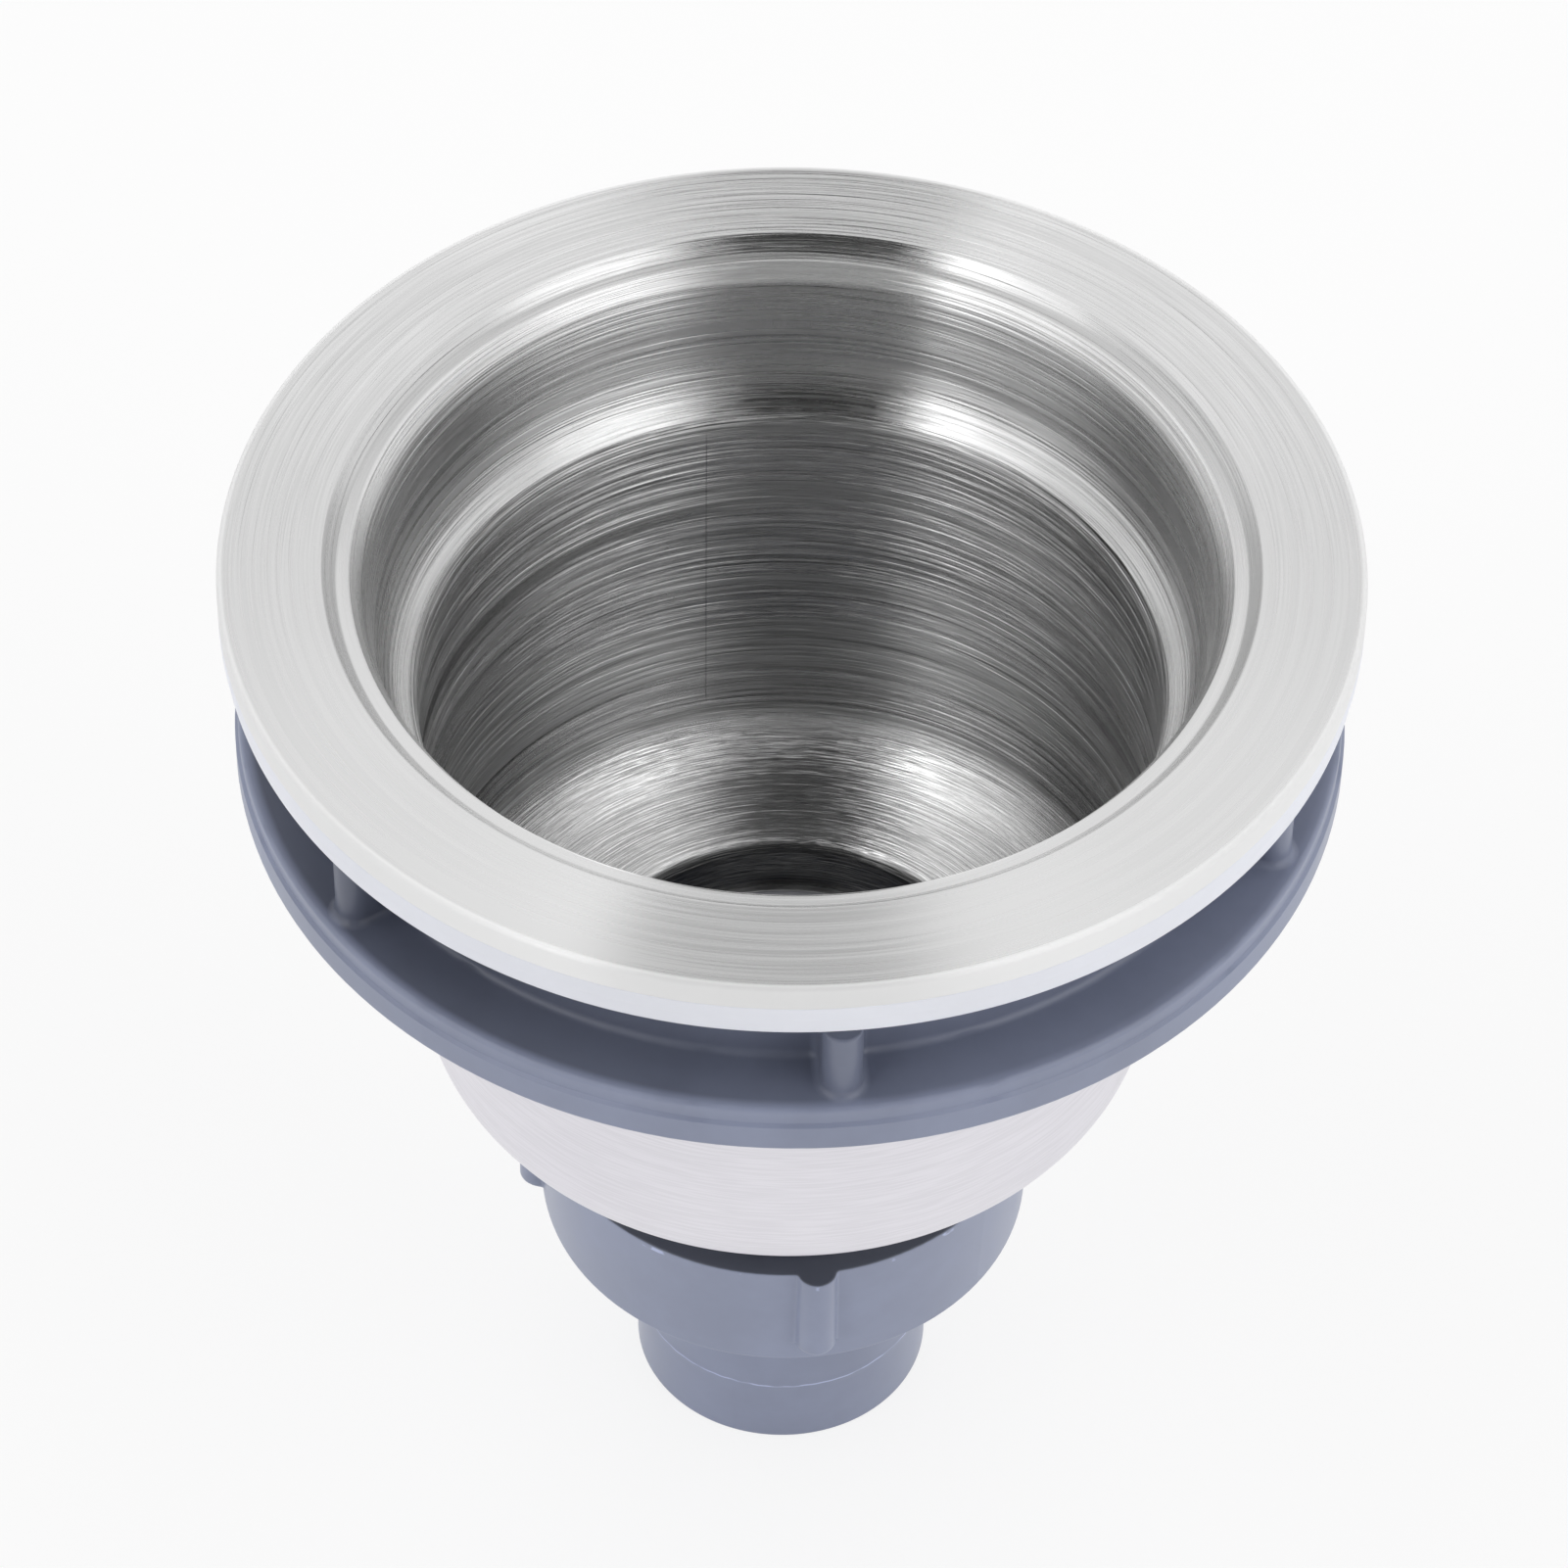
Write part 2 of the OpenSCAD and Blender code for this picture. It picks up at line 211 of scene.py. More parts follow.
def steel():
    """The steel pressings' radii and heights that follow from their sizes."""
    s = bpy.context.scene.strainer_steel
    flange_out, top = reach("flange_ring"), head("flange_ring")
    flat_in = flange_out - s.flange_width
    land_out = flat_in - s.step_width
    mouth_in = land_out - s.mouth_width
    seat_out = mouth_in - s.wall_flare
    seat, neck_foot = top - s.seat_depth, foot("deep_cup")
    floor_low = neck_foot + s.neck_height - s.sheet
    return SimpleNamespace(
        flange_out=flange_out, flat_in=flat_in, land_out=land_out, land_in=land_out - s.land_width,
        mouth_in=mouth_in, seat_out=seat_out, seat_in=seat_out - s.seat_width,
        bowl_in=seat_out - s.shoulder_width, neck_in=s.neck_bore / 2, top=top, step=top - s.step_drop,
        seat=seat, seat_low=seat - s.shoulder_fall * s.seat_width / s.shoulder_width,
        shoulder_low=seat - s.shoulder_fall, neck_foot=neck_foot, floor_low=floor_low,
        bottom=floor_low + s.floor_fall)


# Curves in the plane of the cross section, each an array of (radius, height) points


def between(start, stop, stride):
    """Points inside a straight stretch: one close to each end, so that the shading of a bend stays in
    the bend, and the others evenly spaced at the given stride or closer."""
    span = float(np.linalg.norm(stop - start))
    if span < 3 * GUARD:
        return np.empty((0, 2))
    inner = np.linspace(GUARD, span - GUARD, max(2, 1 + math.ceil((span - 2 * GUARD) / stride)))
    return start + np.outer(inner / span, stop - start)


def bend(before, corner, after, radius, stretch, steps):
    """Arc that rounds a corner. Its centre is on the line that halves the corner's angle, it touches both
    sides, and one radius turns evenly into the other. It is then stretched along the second side, into
    part of an ellipse."""
    back = (before - corner) / np.linalg.norm(before - corner)
    onward = (after - corner) / np.linalg.norm(after - corner)
    half = math.acos(np.clip(back @ onward, -1, 1)) / 2
    sweep = math.pi - 2 * half
    if radius <= 0 or sweep < 1e-4:
        return corner[None]
    middle = back + onward
    centre = corner + middle / np.linalg.norm(middle) * radius / math.sin(half)
    first = corner + back * radius / math.tan(half) - centre
    last = corner + onward * radius / math.tan(half) - centre
    t = np.linspace(0, 1, steps + 1)[:, None]
    curve = centre + (first * np.sin((1 - t) * sweep) + last * np.sin(t * sweep)) / math.sin(sweep)
    shares = np.linalg.solve(np.column_stack([back, onward]), (curve - corner).T)
    return corner + (np.column_stack([back, onward * stretch]) @ shares).T


def outline(corners, closed=True, stride=3 * MM, steps=8):
    """Line through corners, each (radius, height, rounding) and, where the rounding is an ellipse, its
    stretch along the second side."""
    place = np.array([corner[:2] for corner in corners], float)
    last = len(corners) - 1
    arcs = []
    for i, corner in enumerate(corners):
        if not closed and i in (0, last):
            arcs.append(place[i][None])
            continue
        stretch = corner[3] if len(corner) > 3 else 1.0
        arcs.append(bend(place[i - 1], place[i], place[(i + 1) % len(corners)], corner[2], stretch, steps))
    stretches = []
    for i, curve in enumerate(arcs):
        stretches.append(curve)
        if closed or i < last:
            stretches.append(between(curve[-1], arcs[(i + 1) % len(arcs)][0], stride))
    return np.concatenate(stretches)


def sheet_outline(corners, thickness, stride, steps=8, bulge=0.05 * MM):
    """The shown line of a sheet and the rest of its closed outline.

    The hidden line's corners lie one thickness to the left, where the sides' offset lines cross. Its
    roundings are smaller by the thickness at left bends and larger at right ones. Half of a flat ellipse
    closes each cut edge."""
    place = np.array([corner[:2] for corner in corners], float)
    along = np.diff(place, axis=0)
    along /= np.linalg.norm(along, axis=1)[:, None]
    normal = np.column_stack([-along[:, 1], along[:, 0]])
    before, after = np.vstack([normal[:1], normal]), np.vstack([normal, normal[-1:]])
    mitre = (before + after) / (1 + np.sum(before * after, axis=1))[:, None]
    left = before[:, 0] * after[:, 1] - before[:, 1] * after[:, 0]
    change = thickness * np.sign(left)
    rounding = np.array([corner[2] for corner in corners])
    reach_after = rounding * [corner[3] if len(corner) > 3 else 1.0 for corner in corners]
    rounding = np.maximum(rounding - change, 0.08 * MM)
    reach_after = np.maximum(reach_after - change, 0.08 * MM)
    hidden_corners = np.column_stack([place + thickness * mitre, rounding, reach_after / rounding])
    shown = outline(corners, closed=False, stride=stride, steps=steps)
    hidden = outline(hidden_corners, closed=False, stride=stride, steps=steps)
    turn = np.linspace(0, math.pi, 7)[1:-1, None]
    closing = (shown[-1] + hidden[-1] - (hidden[-1] - shown[-1]) * np.cos(turn)) / 2
    opening = (shown[0] + hidden[0] + (hidden[0] - shown[0]) * np.cos(turn)) / 2
    rest = np.concatenate([closing + along[-1] * bulge * np.sin(turn),
                           hidden[::-1], opening - along[0] * bulge * np.sin(turn)])
    return shown, rest


def one_way(line):
    """The closed line turned so that its inside lies on its left."""
    r, z = line.T
    area = np.sum(r * np.roll(z, -1) - np.roll(r, -1) * z)
    return line if area > 0 else line[::-1]


# Grids: radius, height and angle of every point, each an array of rows by columns


def spin(line, columns):
    """Surface of revolution: every point of the line is carried round the axis."""
    angle = np.linspace(0, FULL_TURN, columns, endpoint=False)
    radius, height = (np.repeat(part[:, None], columns, axis=1) for part in line.T)
    return radius, height, np.broadcast_to(angle, radius.shape)


def smooth(value):
    """Rises from 0 to 1 with level ends."""
    value = np.clip(value, 0, 1)
    return value * value * (3 - 2 * value)


def threaded(grid, wall, ridge, pitch, widths, ends, run, turn=0.0):
    """The grid with a right hand thread on its wall, outwards or, with a negative ridge, inwards.

    The distance to the ridge's middle line, in pitches, is the height in pitches less the angle in turns.
    The flanks rise smoothly from the base's width to the tip's, and the ridge fades out at both ends."""
    radius, height, angle = grid
    base, tip = widths
    away = np.abs((height / pitch - (angle + turn) / FULL_TURN + 0.5) % 1 - 0.5)
    rise = smooth((base / 2 - away) / ((base - tip) / 2))
    rise = rise * smooth((height - ends[0]) / run) * smooth((ends[1] - height) / run)
    return radius + ridge * rise * wall, height, angle


def ripple(angle, waves, seed):
    """Sum of a few sine waves round the axis, between about -1 and 1, the same on every run."""
    draw = np.random.default_rng(seed)
    order = draw.integers(1, waves, 9)
    phase = draw.uniform(0, FULL_TURN, 9)
    return sum(np.sin(k * angle + p) for k, p in zip(order, phase)) / 3


def add_object(name, data):
    """A new object, linked to the scene."""
    made = bpy.data.objects.new(name, data)
    bpy.context.scene.collection.objects.link(made)
    return made


def add_piece(name, grid, body, nodes, finishes, row_finish=None, sharp=40):
    """Makes the closed mesh of a grid, gives it its finishes, and sets it on its body."""
    radius, height, angle = grid
    points = np.stack([radius * np.cos(angle), radius * np.sin(angle), height], axis=-1)
    rows, columns = radius.shape
    index = np.arange(rows * columns).reshape(rows, columns)
    beside, above = np.roll(index, -1, axis=1), np.roll(index, -1, axis=0)
    quads = np.stack([index, beside, np.roll(above, -1, axis=1), above], axis=-1).reshape(-1, 4)
    mesh = bpy.data.meshes.new(name)
    mesh.vertices.add(rows * columns)
    mesh.vertices.foreach_set("co", points.astype(np.float32).ravel())
    mesh.loops.add(quads.size)
    mesh.loops.foreach_set("vertex_index", quads.astype(np.int32).ravel())
    mesh.polygons.add(len(quads))
    mesh.polygons.foreach_set("loop_start", np.arange(0, quads.size, 4, dtype=np.int32))
    for label in finishes:
        mesh.materials.append(finish(label))
    if row_finish is not None:
        mesh.polygons.foreach_set("material_index", np.repeat(row_finish, columns).astype(np.int32))
    mesh.update(calc_edges=True)
    mesh.polygons.foreach_set("use_smooth", np.ones(len(quads), bool))
    mesh.set_sharp_from_angle(angle=math.radians(sharp))
    piece = add_object(name, mesh)
    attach(piece, body)
    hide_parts(*nodes)
    return piece


# Ribs round a barrel, seen along the axis


def rib_outline(wall, centre, half, fillet, grow, counts):
    """One rib with its fillets, from one side to the other, as (along, across) points.

    The rib ends in a half circle about its centre, has straight sides, and meets the wall's circle in a
    fillet. The fillet's centre is one fillet radius outside the wall and one outside the rib's side, or
    outside the half circle where that comes first. The whole line can be grown outwards."""
    wall, half, fillet = wall + grow, half + grow, fillet - grow
    fillet_steps, side_steps, end_steps = counts
    along = math.sqrt((wall + fillet) ** 2 - (half + fillet) ** 2)
    start = math.pi / 2
    middle = np.array([along, half + fillet])
    if along > centre:
        along = ((wall + fillet) ** 2 - (half + fillet) ** 2 + centre ** 2) / (2 * centre)
        middle = np.array([along, math.sqrt((wall + fillet) ** 2 - along ** 2)])
        start = math.atan2(middle[1], middle[0] - centre)
    first = math.atan2(-middle[1], -middle[0])
    last = start - math.pi
    turn = np.linspace(first, last, fillet_steps + 1)
    curve = middle + fillet * np.column_stack([np.cos(turn), np.sin(turn)])
    if along < centre:
        side = np.linspace(curve[-1], (centre, half), side_steps + 2)[1:-1]
        round_end = np.linspace(start, 0, end_steps + 1)
    else:
        side = curve[:0]
        round_end = np.linspace(start, 0, end_steps + side_steps + 2)[1:]
    tip = np.array([centre, 0]) + half * np.column_stack([np.cos(round_end), np.sin(round_end)])
    upper = np.concatenate([curve, side, tip])
    return np.concatenate([upper[:-1] * (1, -1), upper[::-1]])


def ribbed_row(wall, rib, grow, sector, plain_columns):
    """Radius and angle of a row that runs along the wall's circle and out round one rib."""
    line = rib_outline(wall, rib["centre"], rib["half"], rib["fillet"], grow, rib["counts"])
    radius, angle = np.hypot(*line.T), np.arctan2(line[:, 1], line[:, 0])
    rest = np.linspace(-sector / 2, angle[0], plain_columns, endpoint=False)
    plain = np.full(plain_columns, wall + grow)
    return np.concatenate([plain, radius, plain]), np.concatenate([rest, angle, -rest[::-1]])


def even_angles(angle, plain):
    """A ribbed row's angles, evenly spaced where the rib is."""
    angle = angle.copy()
    angle[plain:-plain] = np.linspace(angle[plain], angle[-plain - 1], len(angle) - 2 * plain)
    return angle


def blend(first, last, share):
    """The row that lies a share of the way from one row straight to another."""
    ends = [radius * np.exp(1j * angle) for radius, angle in (first, last)]
    point = ends[0] * (1 - share) + ends[1] * share
    return np.abs(point), np.angle(point)


def towards(first, last, steps):
    """Rows that lead straight from one row to another, both left out."""
    return [blend(first, last, share) for share in np.linspace(0, 1, steps + 2)[1:-1]]


class NutRows:
    """Rows of a nut over the one part that repeats round its axis."""

    def __init__(self, angle):
        self.angle, self.rows = angle, []

    def ring(self, radius):
        """Radius and angle of a plain circle."""
        return np.full(len(self.angle), radius), self.angle

    def put(self, row, height):
        """Adds a row at a height, or at a height for each column."""
        radius, angle = row
        self.rows.append((radius, np.broadcast_to(height, radius.shape), angle))

    def put_line(self, corners, stride=3 * MM, steps=5):
        """Adds plain circles along a line through corners."""
        for radius, height in outline(corners, closed=False, stride=stride, steps=steps):
            self.put(self.ring(radius), height)

    def put_top(self, ribbed, high, soft, inner):
        """Adds rows that round the ribbed line over its top edge and lead in to a plain circle."""
        for turn in np.radians(np.linspace(0, 90, 5)):
            height = high - soft * (1 - math.sin(turn))
            self.put(ribbed(height, soft * (math.cos(turn) - 1)), height)
        for row in towards(ribbed(high, -soft), self.ring(inner), 2):
            self.put(row, high)

    def whole(self, copies, phase, bore, ridge, pitch, widths, ends):
        """The grid of the whole nut, with the thread in its bore half a turn from the one it runs on."""
        radius, height, angle = (np.tile(np.stack(part), (1, copies)) for part in zip(*self.rows))
        angle = angle + FULL_TURN * np.repeat(np.arange(copies) / copies, len(self.angle)) + phase
        wall = np.abs(radius - bore) < 2 * NEAR
        return threaded((radius, height, angle), wall, -ridge, pitch, widths, ends, 0.8 * MM, math.pi)


# Shader node groups and materials

WHITE, BLACK = (1.0, 1.0, 1.0), (0.0, 0.0, 0.0)
FLAT = (1.0, 1.0, 0.0)


class Nodes:
    """Short ways to add and join nodes of one tree."""

    def __init__(self, tree):
        self.tree = tree

    def fill(self, sockets, values):
        """Joins inputs, given by name or number, to other sockets or gives them values. A colour may
        leave out its alpha."""
        for key, value in values.items():
            if isinstance(value, bpy.types.NodeSocket):
                self.tree.links.new(value, sockets[key])
            elif sockets[key].type == "RGBA":
                sockets[key].default_value = (*value, 1.0)[:4]
            else:
                sockets[key].default_value = value

    def add(self, kind, values=None, **settings):
        """The outputs of a node that is given its inputs and its settings."""
        node = self.tree.nodes.new("ShaderNode" + kind)
        for key, value in settings.items():
            setattr(node, key, value)
        self.fill(node.inputs, values or {})
        return node.outputs

    def maths(self, operation, first, second=0.0):
        """The result of a Math node."""
        return self.add("Math", {0: first, 1: second}, operation=operation)[0]

    def times(self, first, *others):
        """The product of the values."""
        for other in others:
            first = self.maths("MULTIPLY", first, other)
        return first

    def plus(self, first, second):
        """The sum of two values."""
        return self.maths("ADD", first, second)

    def less(self, *factors):
        """One less the product of the values."""
        return self.maths("SUBTRACT", 1.0, self.times(*factors))

    def vector(self, operation, first, second=(0.0, 0.0, 0.0), output=0):
        """The result of a Vector Math node."""
        return self.add("VectorMath", {0: first, 1: second}, operation=operation)[output]

    def axis(self, place, name):
        """One of a place's coordinates."""
        return self.add("SeparateXYZ", {0: place})[name]

    def round_place(self, place):
        """A point's radius about the drain's axis and its height."""
        radius = self.vector("LENGTH", self.vector("MULTIPLY", place, FLAT), output="Value")
        return radius, self.axis(place, "Z")

    def ramp(self, value, low, high, start=0.0, stop=1.0):
        """The value mapped smoothly from one range to another."""
        values = {"Value": value, "From Min": low, "From Max": high, "To Min": start, "To Max": stop}
        return self.add("MapRange", values, interpolation_type="SMOOTHSTEP")["Result"]

    def drop(self, value, low, high):
        """Falls from 1 to 0 as the value crosses a range."""
        return self.ramp(value, low, high, 1.0, 0.0)

    def within(self, value, low, high, run):
        """Is 1 between two values and fades out over a run outside each of them."""
        return self.times(self.ramp(value, low - run, low), self.drop(value, high, high + run))

    def noise(self, place, scale, detail=2.0, roughness=0.5):
        """A noise pattern's value."""
        values = {"Vector": place, "Scale": scale, "Detail": detail, "Roughness": roughness}
        return self.add("TexNoise", values)["Fac"]

    def mix(self, factor, first, second):
        """Two colours mixed by a factor."""
        return self.add("Mix", {"Factor": factor, 6: first, 7: second}, data_type="RGBA")[2]

    def cover(self, tint, layers):
        """A colour covered by others, each where its mask is and by its share."""
        for mask, share, other in layers:
            tint = self.mix(self.times(mask, share), tint, other)
        return tint


def new_group(name, inputs, outputs):
    """An empty shader node group that is given a place and numbers and makes numbers."""
    tree = bpy.data.node_groups.new(name, "ShaderNodeTree")
    tree.interface.new_socket(name="Place", in_out="INPUT", socket_type="NodeSocketVector")
    for label, value in inputs.items():
        socket = tree.interface.new_socket(name=label, in_out="INPUT", socket_type="NodeSocketFloat")
        socket.default_value = value
    for label in outputs:
        tree.interface.new_socket(name=label, in_out="OUTPUT", socket_type="NodeSocketFloat")
    return Nodes(tree), tree.nodes.new("NodeGroupInput").outputs, tree.nodes.new("NodeGroupOutput").inputs


def ring_lines_group():
    """Lines that run round the axis and fade in and out along it.

    The point's direction from the axis, times the waves in a turn, and its radius plus height, times the
    lines in a metre, go into a noise pattern, so that each line is long round the axis and thin across."""
    numbers = {"Waves": 3.0, "Lines": 1500.0, "Detail": 2.0, "Low": 0.35, "High": 0.65}
    n, given, made = new_group("Ring lines", numbers, ["Value"])
    radius, height = n.round_place(given["Place"])
    across = n.times(n.plus(radius, height), given["Lines"])
    way = n.vector("NORMALIZE", n.vector("MULTIPLY", given["Place"], FLAT))
    turn = n.add("VectorMath", {0: way, "Scale": given["Waves"]}, operation="SCALE")[0]
    lift = n.add("CombineXYZ", {"Z": across})[0]
    value = n.noise(n.vector("ADD", turn, lift), 1.0, given["Detail"])
    n.fill(made, {"Value": n.ramp(value, given["Low"], given["High"])})
    return n.tree


def moulded_group():
    """Skin of a moulded part: a fine grain, a slow mottle and a few pale specks."""
    numbers = {"Grain": 1500.0, "Mottle": 60.0, "Specks": 120.0}
    n, given, made = new_group("Moulded skin", numbers, ["Grain", "Mottle", "Specks"])
    place = given["Place"]
    cells = n.add("TexVoronoi", {"Vector": place, "Scale": given["Specks"]})
    draw = n.add("SeparateColor", {0: cells["Color"]})[0]
    specks = n.times(n.maths("GREATER_THAN", draw, 0.9), n.drop(cells["Distance"], 0.03, 0.07))
    n.fill(made, {"Grain": n.noise(place, given["Grain"], 3.0, 0.6), "Specks": specks,
                  "Mottle": n.ramp(n.noise(place, given["Mottle"], 4.0, 0.6), 0.3, 0.7)})
    return n.tree


def use_group(n, label, values):
    """The outputs of a shader node group, which is made on first use."""
    makers = {"Ring lines": ring_lines_group, "Moulded skin": moulded_group}
    tree = bpy.data.node_groups.get(label) or makers[label]()
    return n.add("Group", values, node_tree=tree)


def lines(n, place, waves, per_metre, detail=2.0, low=0.35, high=0.65):
    """Lines round the axis in a material."""
    values = {"Place": place, "Waves": waves, "Lines": per_metre, "Detail": detail, "Low": low, "High": high}
    return use_group(n, "Ring lines", values)["Value"]


def shade(base, factor):
    """A colour made darker or lighter."""
    return tuple(min(1.0, channel * factor) for channel in base)


def set_steel(n, shader, tint, roughness, bumps, anisotropic, metallic=1.0):
    """Gives a steel its colour, roughness and bumps, and brushes it round the axis. A bump is a height,
    its distance in millimetres and its strength."""
    normal = {}
    for height, distance, strength in bumps:
        values = {"Height": height, "Distance": distance * MM, "Strength": strength, **normal}
        normal = {"Normal": n.add("Bump", values)["Normal"]}
    tangent = n.add("Tangent", direction_type="RADIAL", axis="Z")[0]
    n.fill(shader, {"Base Color": tint, "Roughness": roughness, "Metallic": metallic, "Tangent": tangent,
                    "Anisotropic": anisotropic, "Anisotropic Rotation": 0.25, **normal})


def flange_steel(n, shader, place, base):
    """Fine, even brushing of the flange, the mouth and the seat, strongest at the back. A few deep lines on
    the wall are darker and its upper part is paler. At the back the land inside the step is darkened with
    painted shade, the step's shadow, and the mouth's crest is painted pale and partly not metallic, a painted
    highlight. The lip is painted near white and mostly not metallic, a painted reflection of the white floor."""
    d = steel()
    fine = lines(n, place, 3.0, 4200.0, 2.0, 0.25, 0.75)
    long = lines(n, place, 0.9, 1500.0, 3.0, 0.3, 0.7)
    radius, height = n.round_place(place)
    across = n.axis(place, "Y")
    back = n.ramp(across, -5 * MM, 20 * MM)
    land = n.times(n.within(radius, d.land_in + 0.15 * MM, d.land_out, 0.15 * MM), back)
    crest = n.times(n.within(radius, d.land_in - 1 * MM, d.land_in + 0.1 * MM, 0.3 * MM), back)
    wall = n.within(height, d.seat + 3 * MM, d.step - 9 * MM, 1 * MM)
    deep = n.times(wall, lines(n, place, 0.5, 1100.0, 1.0, 0.6, 0.68))
    upper = n.within(height, d.seat + 1 * MM, d.step - 3 * MM, 1 * MM)
    lip = n.ramp(radius, d.flange_out - 0.8 * MM, d.flange_out - 0.4 * MM)
    depth = n.times(n.ramp(across, -20 * MM, 35 * MM, 0.15, 1.0), n.less(lip))
    uneven = n.maths("SUBTRACT", n.times(n.plus(fine, long), 0.5), 0.5)
    tint = n.mix(n.plus(0.5, n.times(uneven, depth)), shade(base, 0.85), shade(base, 1.11))
    # Painted shade on the land at the back, from the step; painted highlight on the crest at the back;
    # painted reflection of the floor on the lip.
    tint = n.cover(tint, ((land, 0.18, BLACK), (deep, 0.35, BLACK), (crest, 0.5, WHITE),
                          (upper, 0.12, WHITE), (lip, 1.0, (0.92, 0.92, 0.92))))
    roughness = n.plus(n.ramp(long, 0.0, 1.0, 0.24, 0.29), n.times(lip, 0.15))
    bumps = [(n.times(long, depth), 0.07, 1.0), (n.times(fine, depth), 0.03, 1.0)]
    # The crest's painted highlight and the lip's painted reflection also take off part of the metallic.
    painted = n.maths("MAXIMUM", n.times(lip, 0.8), n.times(crest, 0.35))
    set_steel(n, shader, tint, roughness, bumps, 1.0, n.less(painted))


def shade_break_line(n, place, height):
    """Painted shade: is 1 on a thin upright dark line on the bowl's back, a little to the left, standing in
    for a break in the bowl's shading. It lies where the distance from an upright plane through the drain's
    axis is small."""
    turn = math.radians(14.0)
    off = n.vector("DOT_PRODUCT", place, (math.cos(turn), math.sin(turn), 0.0), output="Value")
    near = n.drop(n.maths("ABSOLUTE", off), 0.04 * MM, 0.13 * MM)
    back = n.maths("GREATER_THAN", n.axis(place, "Y"), 0.0)
    return n.times(near, back, n.within(height, -52 * MM, -14 * MM, 2 * MM))


def bowl_steel(n, shader, place, base):
    """Coarse turned lines inside the bowl, with broad bands and scattered deep lines. It is paler at the top
    and most of all on the floor. It is darkened with painted shade in the neck, where the bore lies in
    shadow, and is crossed by a thin dark line of painted shade on its back. It has a plain darker band with
    few streaks on the left."""
    neck_in = steel().neck_in
    fine = lines(n, place, 3.0, 4200.0, 2.0, 0.3, 0.7)
    streaks = lines(n, place, 0.8, 1500.0, 3.0, 0.3, 0.7)
    bands = lines(n, place, 0.6, 230.0)
    deep = lines(n, place, 1.0, 1900.0, 1.0, 0.62, 0.70)
    radius, height = n.round_place(place)
    top = n.ramp(height, -32 * MM, -18 * MM)
    floor = n.drop(height, -56.4 * MM, -55 * MM)
    neck = n.drop(radius, neck_in + 0.4 * MM, neck_in + 1.2 * MM)
    aside = n.drop(n.axis(place, "X"), -14 * MM, -4 * MM)
    plain = n.times(n.within(height, -25 * MM, -23.6 * MM, 0.3 * MM), aside)
    tone = n.plus(n.times(streaks, 0.6), n.times(fine, 0.4))
    tint = n.mix(tone, shade(base, 0.62), shade(base, 1.34))
    # Painted shade: the neck goes nearly black, as the bore lies in shadow.
    tint = n.cover(tint, ((deep, 0.7, shade(base, 0.25)), (top, 0.06, WHITE), (floor, 0.72, WHITE),
                          # Painted shade: the thin dark line where the bowl's shading breaks.
                          (neck, 0.85, BLACK), (shade_break_line(n, place, height), 0.3, BLACK),
                          (plain, 0.9, shade(base, 0.55))))
    roughness = n.maths("SUBTRACT", n.ramp(bands, 0.0, 1.0, 0.23, 0.3), n.times(floor, 0.05))
    streaks = n.times(streaks, n.less(plain, 0.8), n.less(floor, 0.85))
    set_steel(n, shader, tint, roughness, [(bands, 0.15, 1.0), (streaks, 0.24, 1.0), (fine, 0.06, 1.0)], 1.0)


def satin_steel(n, shader, place, base, waves, per_metre, cloud, shares, tints, roughness, bump, anisotropic):
    """Satin or machined steel: fine lines, and clouds in its colour and its roughness."""
    fine = lines(n, place, waves, per_metre)
    cloud = n.noise(place, *cloud)
    tone = n.plus(n.times(fine, shares[0]), n.times(cloud, shares[1]))
    tint = n.mix(tone, shade(base, tints[0]), shade(base, tints[1]))
    set_steel(n, shader, tint, n.ramp(cloud, 0.3, 0.7, *roughness), [(fine, *bump)], anisotropic)


def moulded(n, shader, place, base, roughness, grain=1500.0, mottle=60.0, change=0.08, bump=0.5, specks=0.0,
            painted_shade=None, pale=None):
    """A moulded plastic or rubber. Two functions may give masks: the first paints shade, darkening it where
    shade falls, as in a recess or under another part, and pale makes it lighter, as on a mould line."""
    skin = use_group(n, "Moulded skin", {"Place": place, "Grain": grain, "Mottle": mottle})
    tint = n.mix(skin["Mottle"], shade(base, 1 - change), shade(base, 1 + change))
    tint = n.cover(tint, [(skin["Specks"], specks, shade(base, 2.2))])
    # Painted shade: darker towards black where the first mask is.
    if painted_shade:
        tint = n.mix(painted_shade(n, place), tint, BLACK)
    if pale:
        tint = n.mix(pale(n, place), tint, shade(base, 1.9))
    grain = n.add("Bump", {"Height": skin["Grain"], "Distance": 0.01 * MM, "Strength": bump})
    n.fill(shader, {"Base Color": tint, "Normal": grain[0],
                    "Roughness": n.ramp(skin["Mottle"], 0.0, 1.0, roughness - 0.05, roughness + 0.05)})


def nut_floor_shade(n, place):
    """Mask of painted shade on the lock nut's floor and what stands on it, inside the rim's rounded edge,
    where the flange above shades them. It is strongest on the left and weaker to the right, the side of the
    stronger lamp."""
    k = bpy.context.scene.strainer_lock_nut
    radius, height = n.round_place(place)
    edge, top = reach("lock_nut") - k.rim_step - k.rim_round, head("lock_nut") - k.barrel_height
    depth = n.ramp(n.axis(place, "X"), -45 * MM, 45 * MM, 0.55, 0.17)
    return n.times(n.drop(radius, edge - 1 * MM, edge), depth, n.ramp(height, top - 0.4 * MM, top - 0.1 * MM))


def outlet_top_shade(n, place):
    """Painted shade on the outlet nut's top face, which lies in the shadow of the bowl above it."""
    high = head("outlet_nut")
    return n.ramp(n.axis(place, "Z"), high - 0.2 * MM, high - 0.05 * MM, 0.0, 0.75)


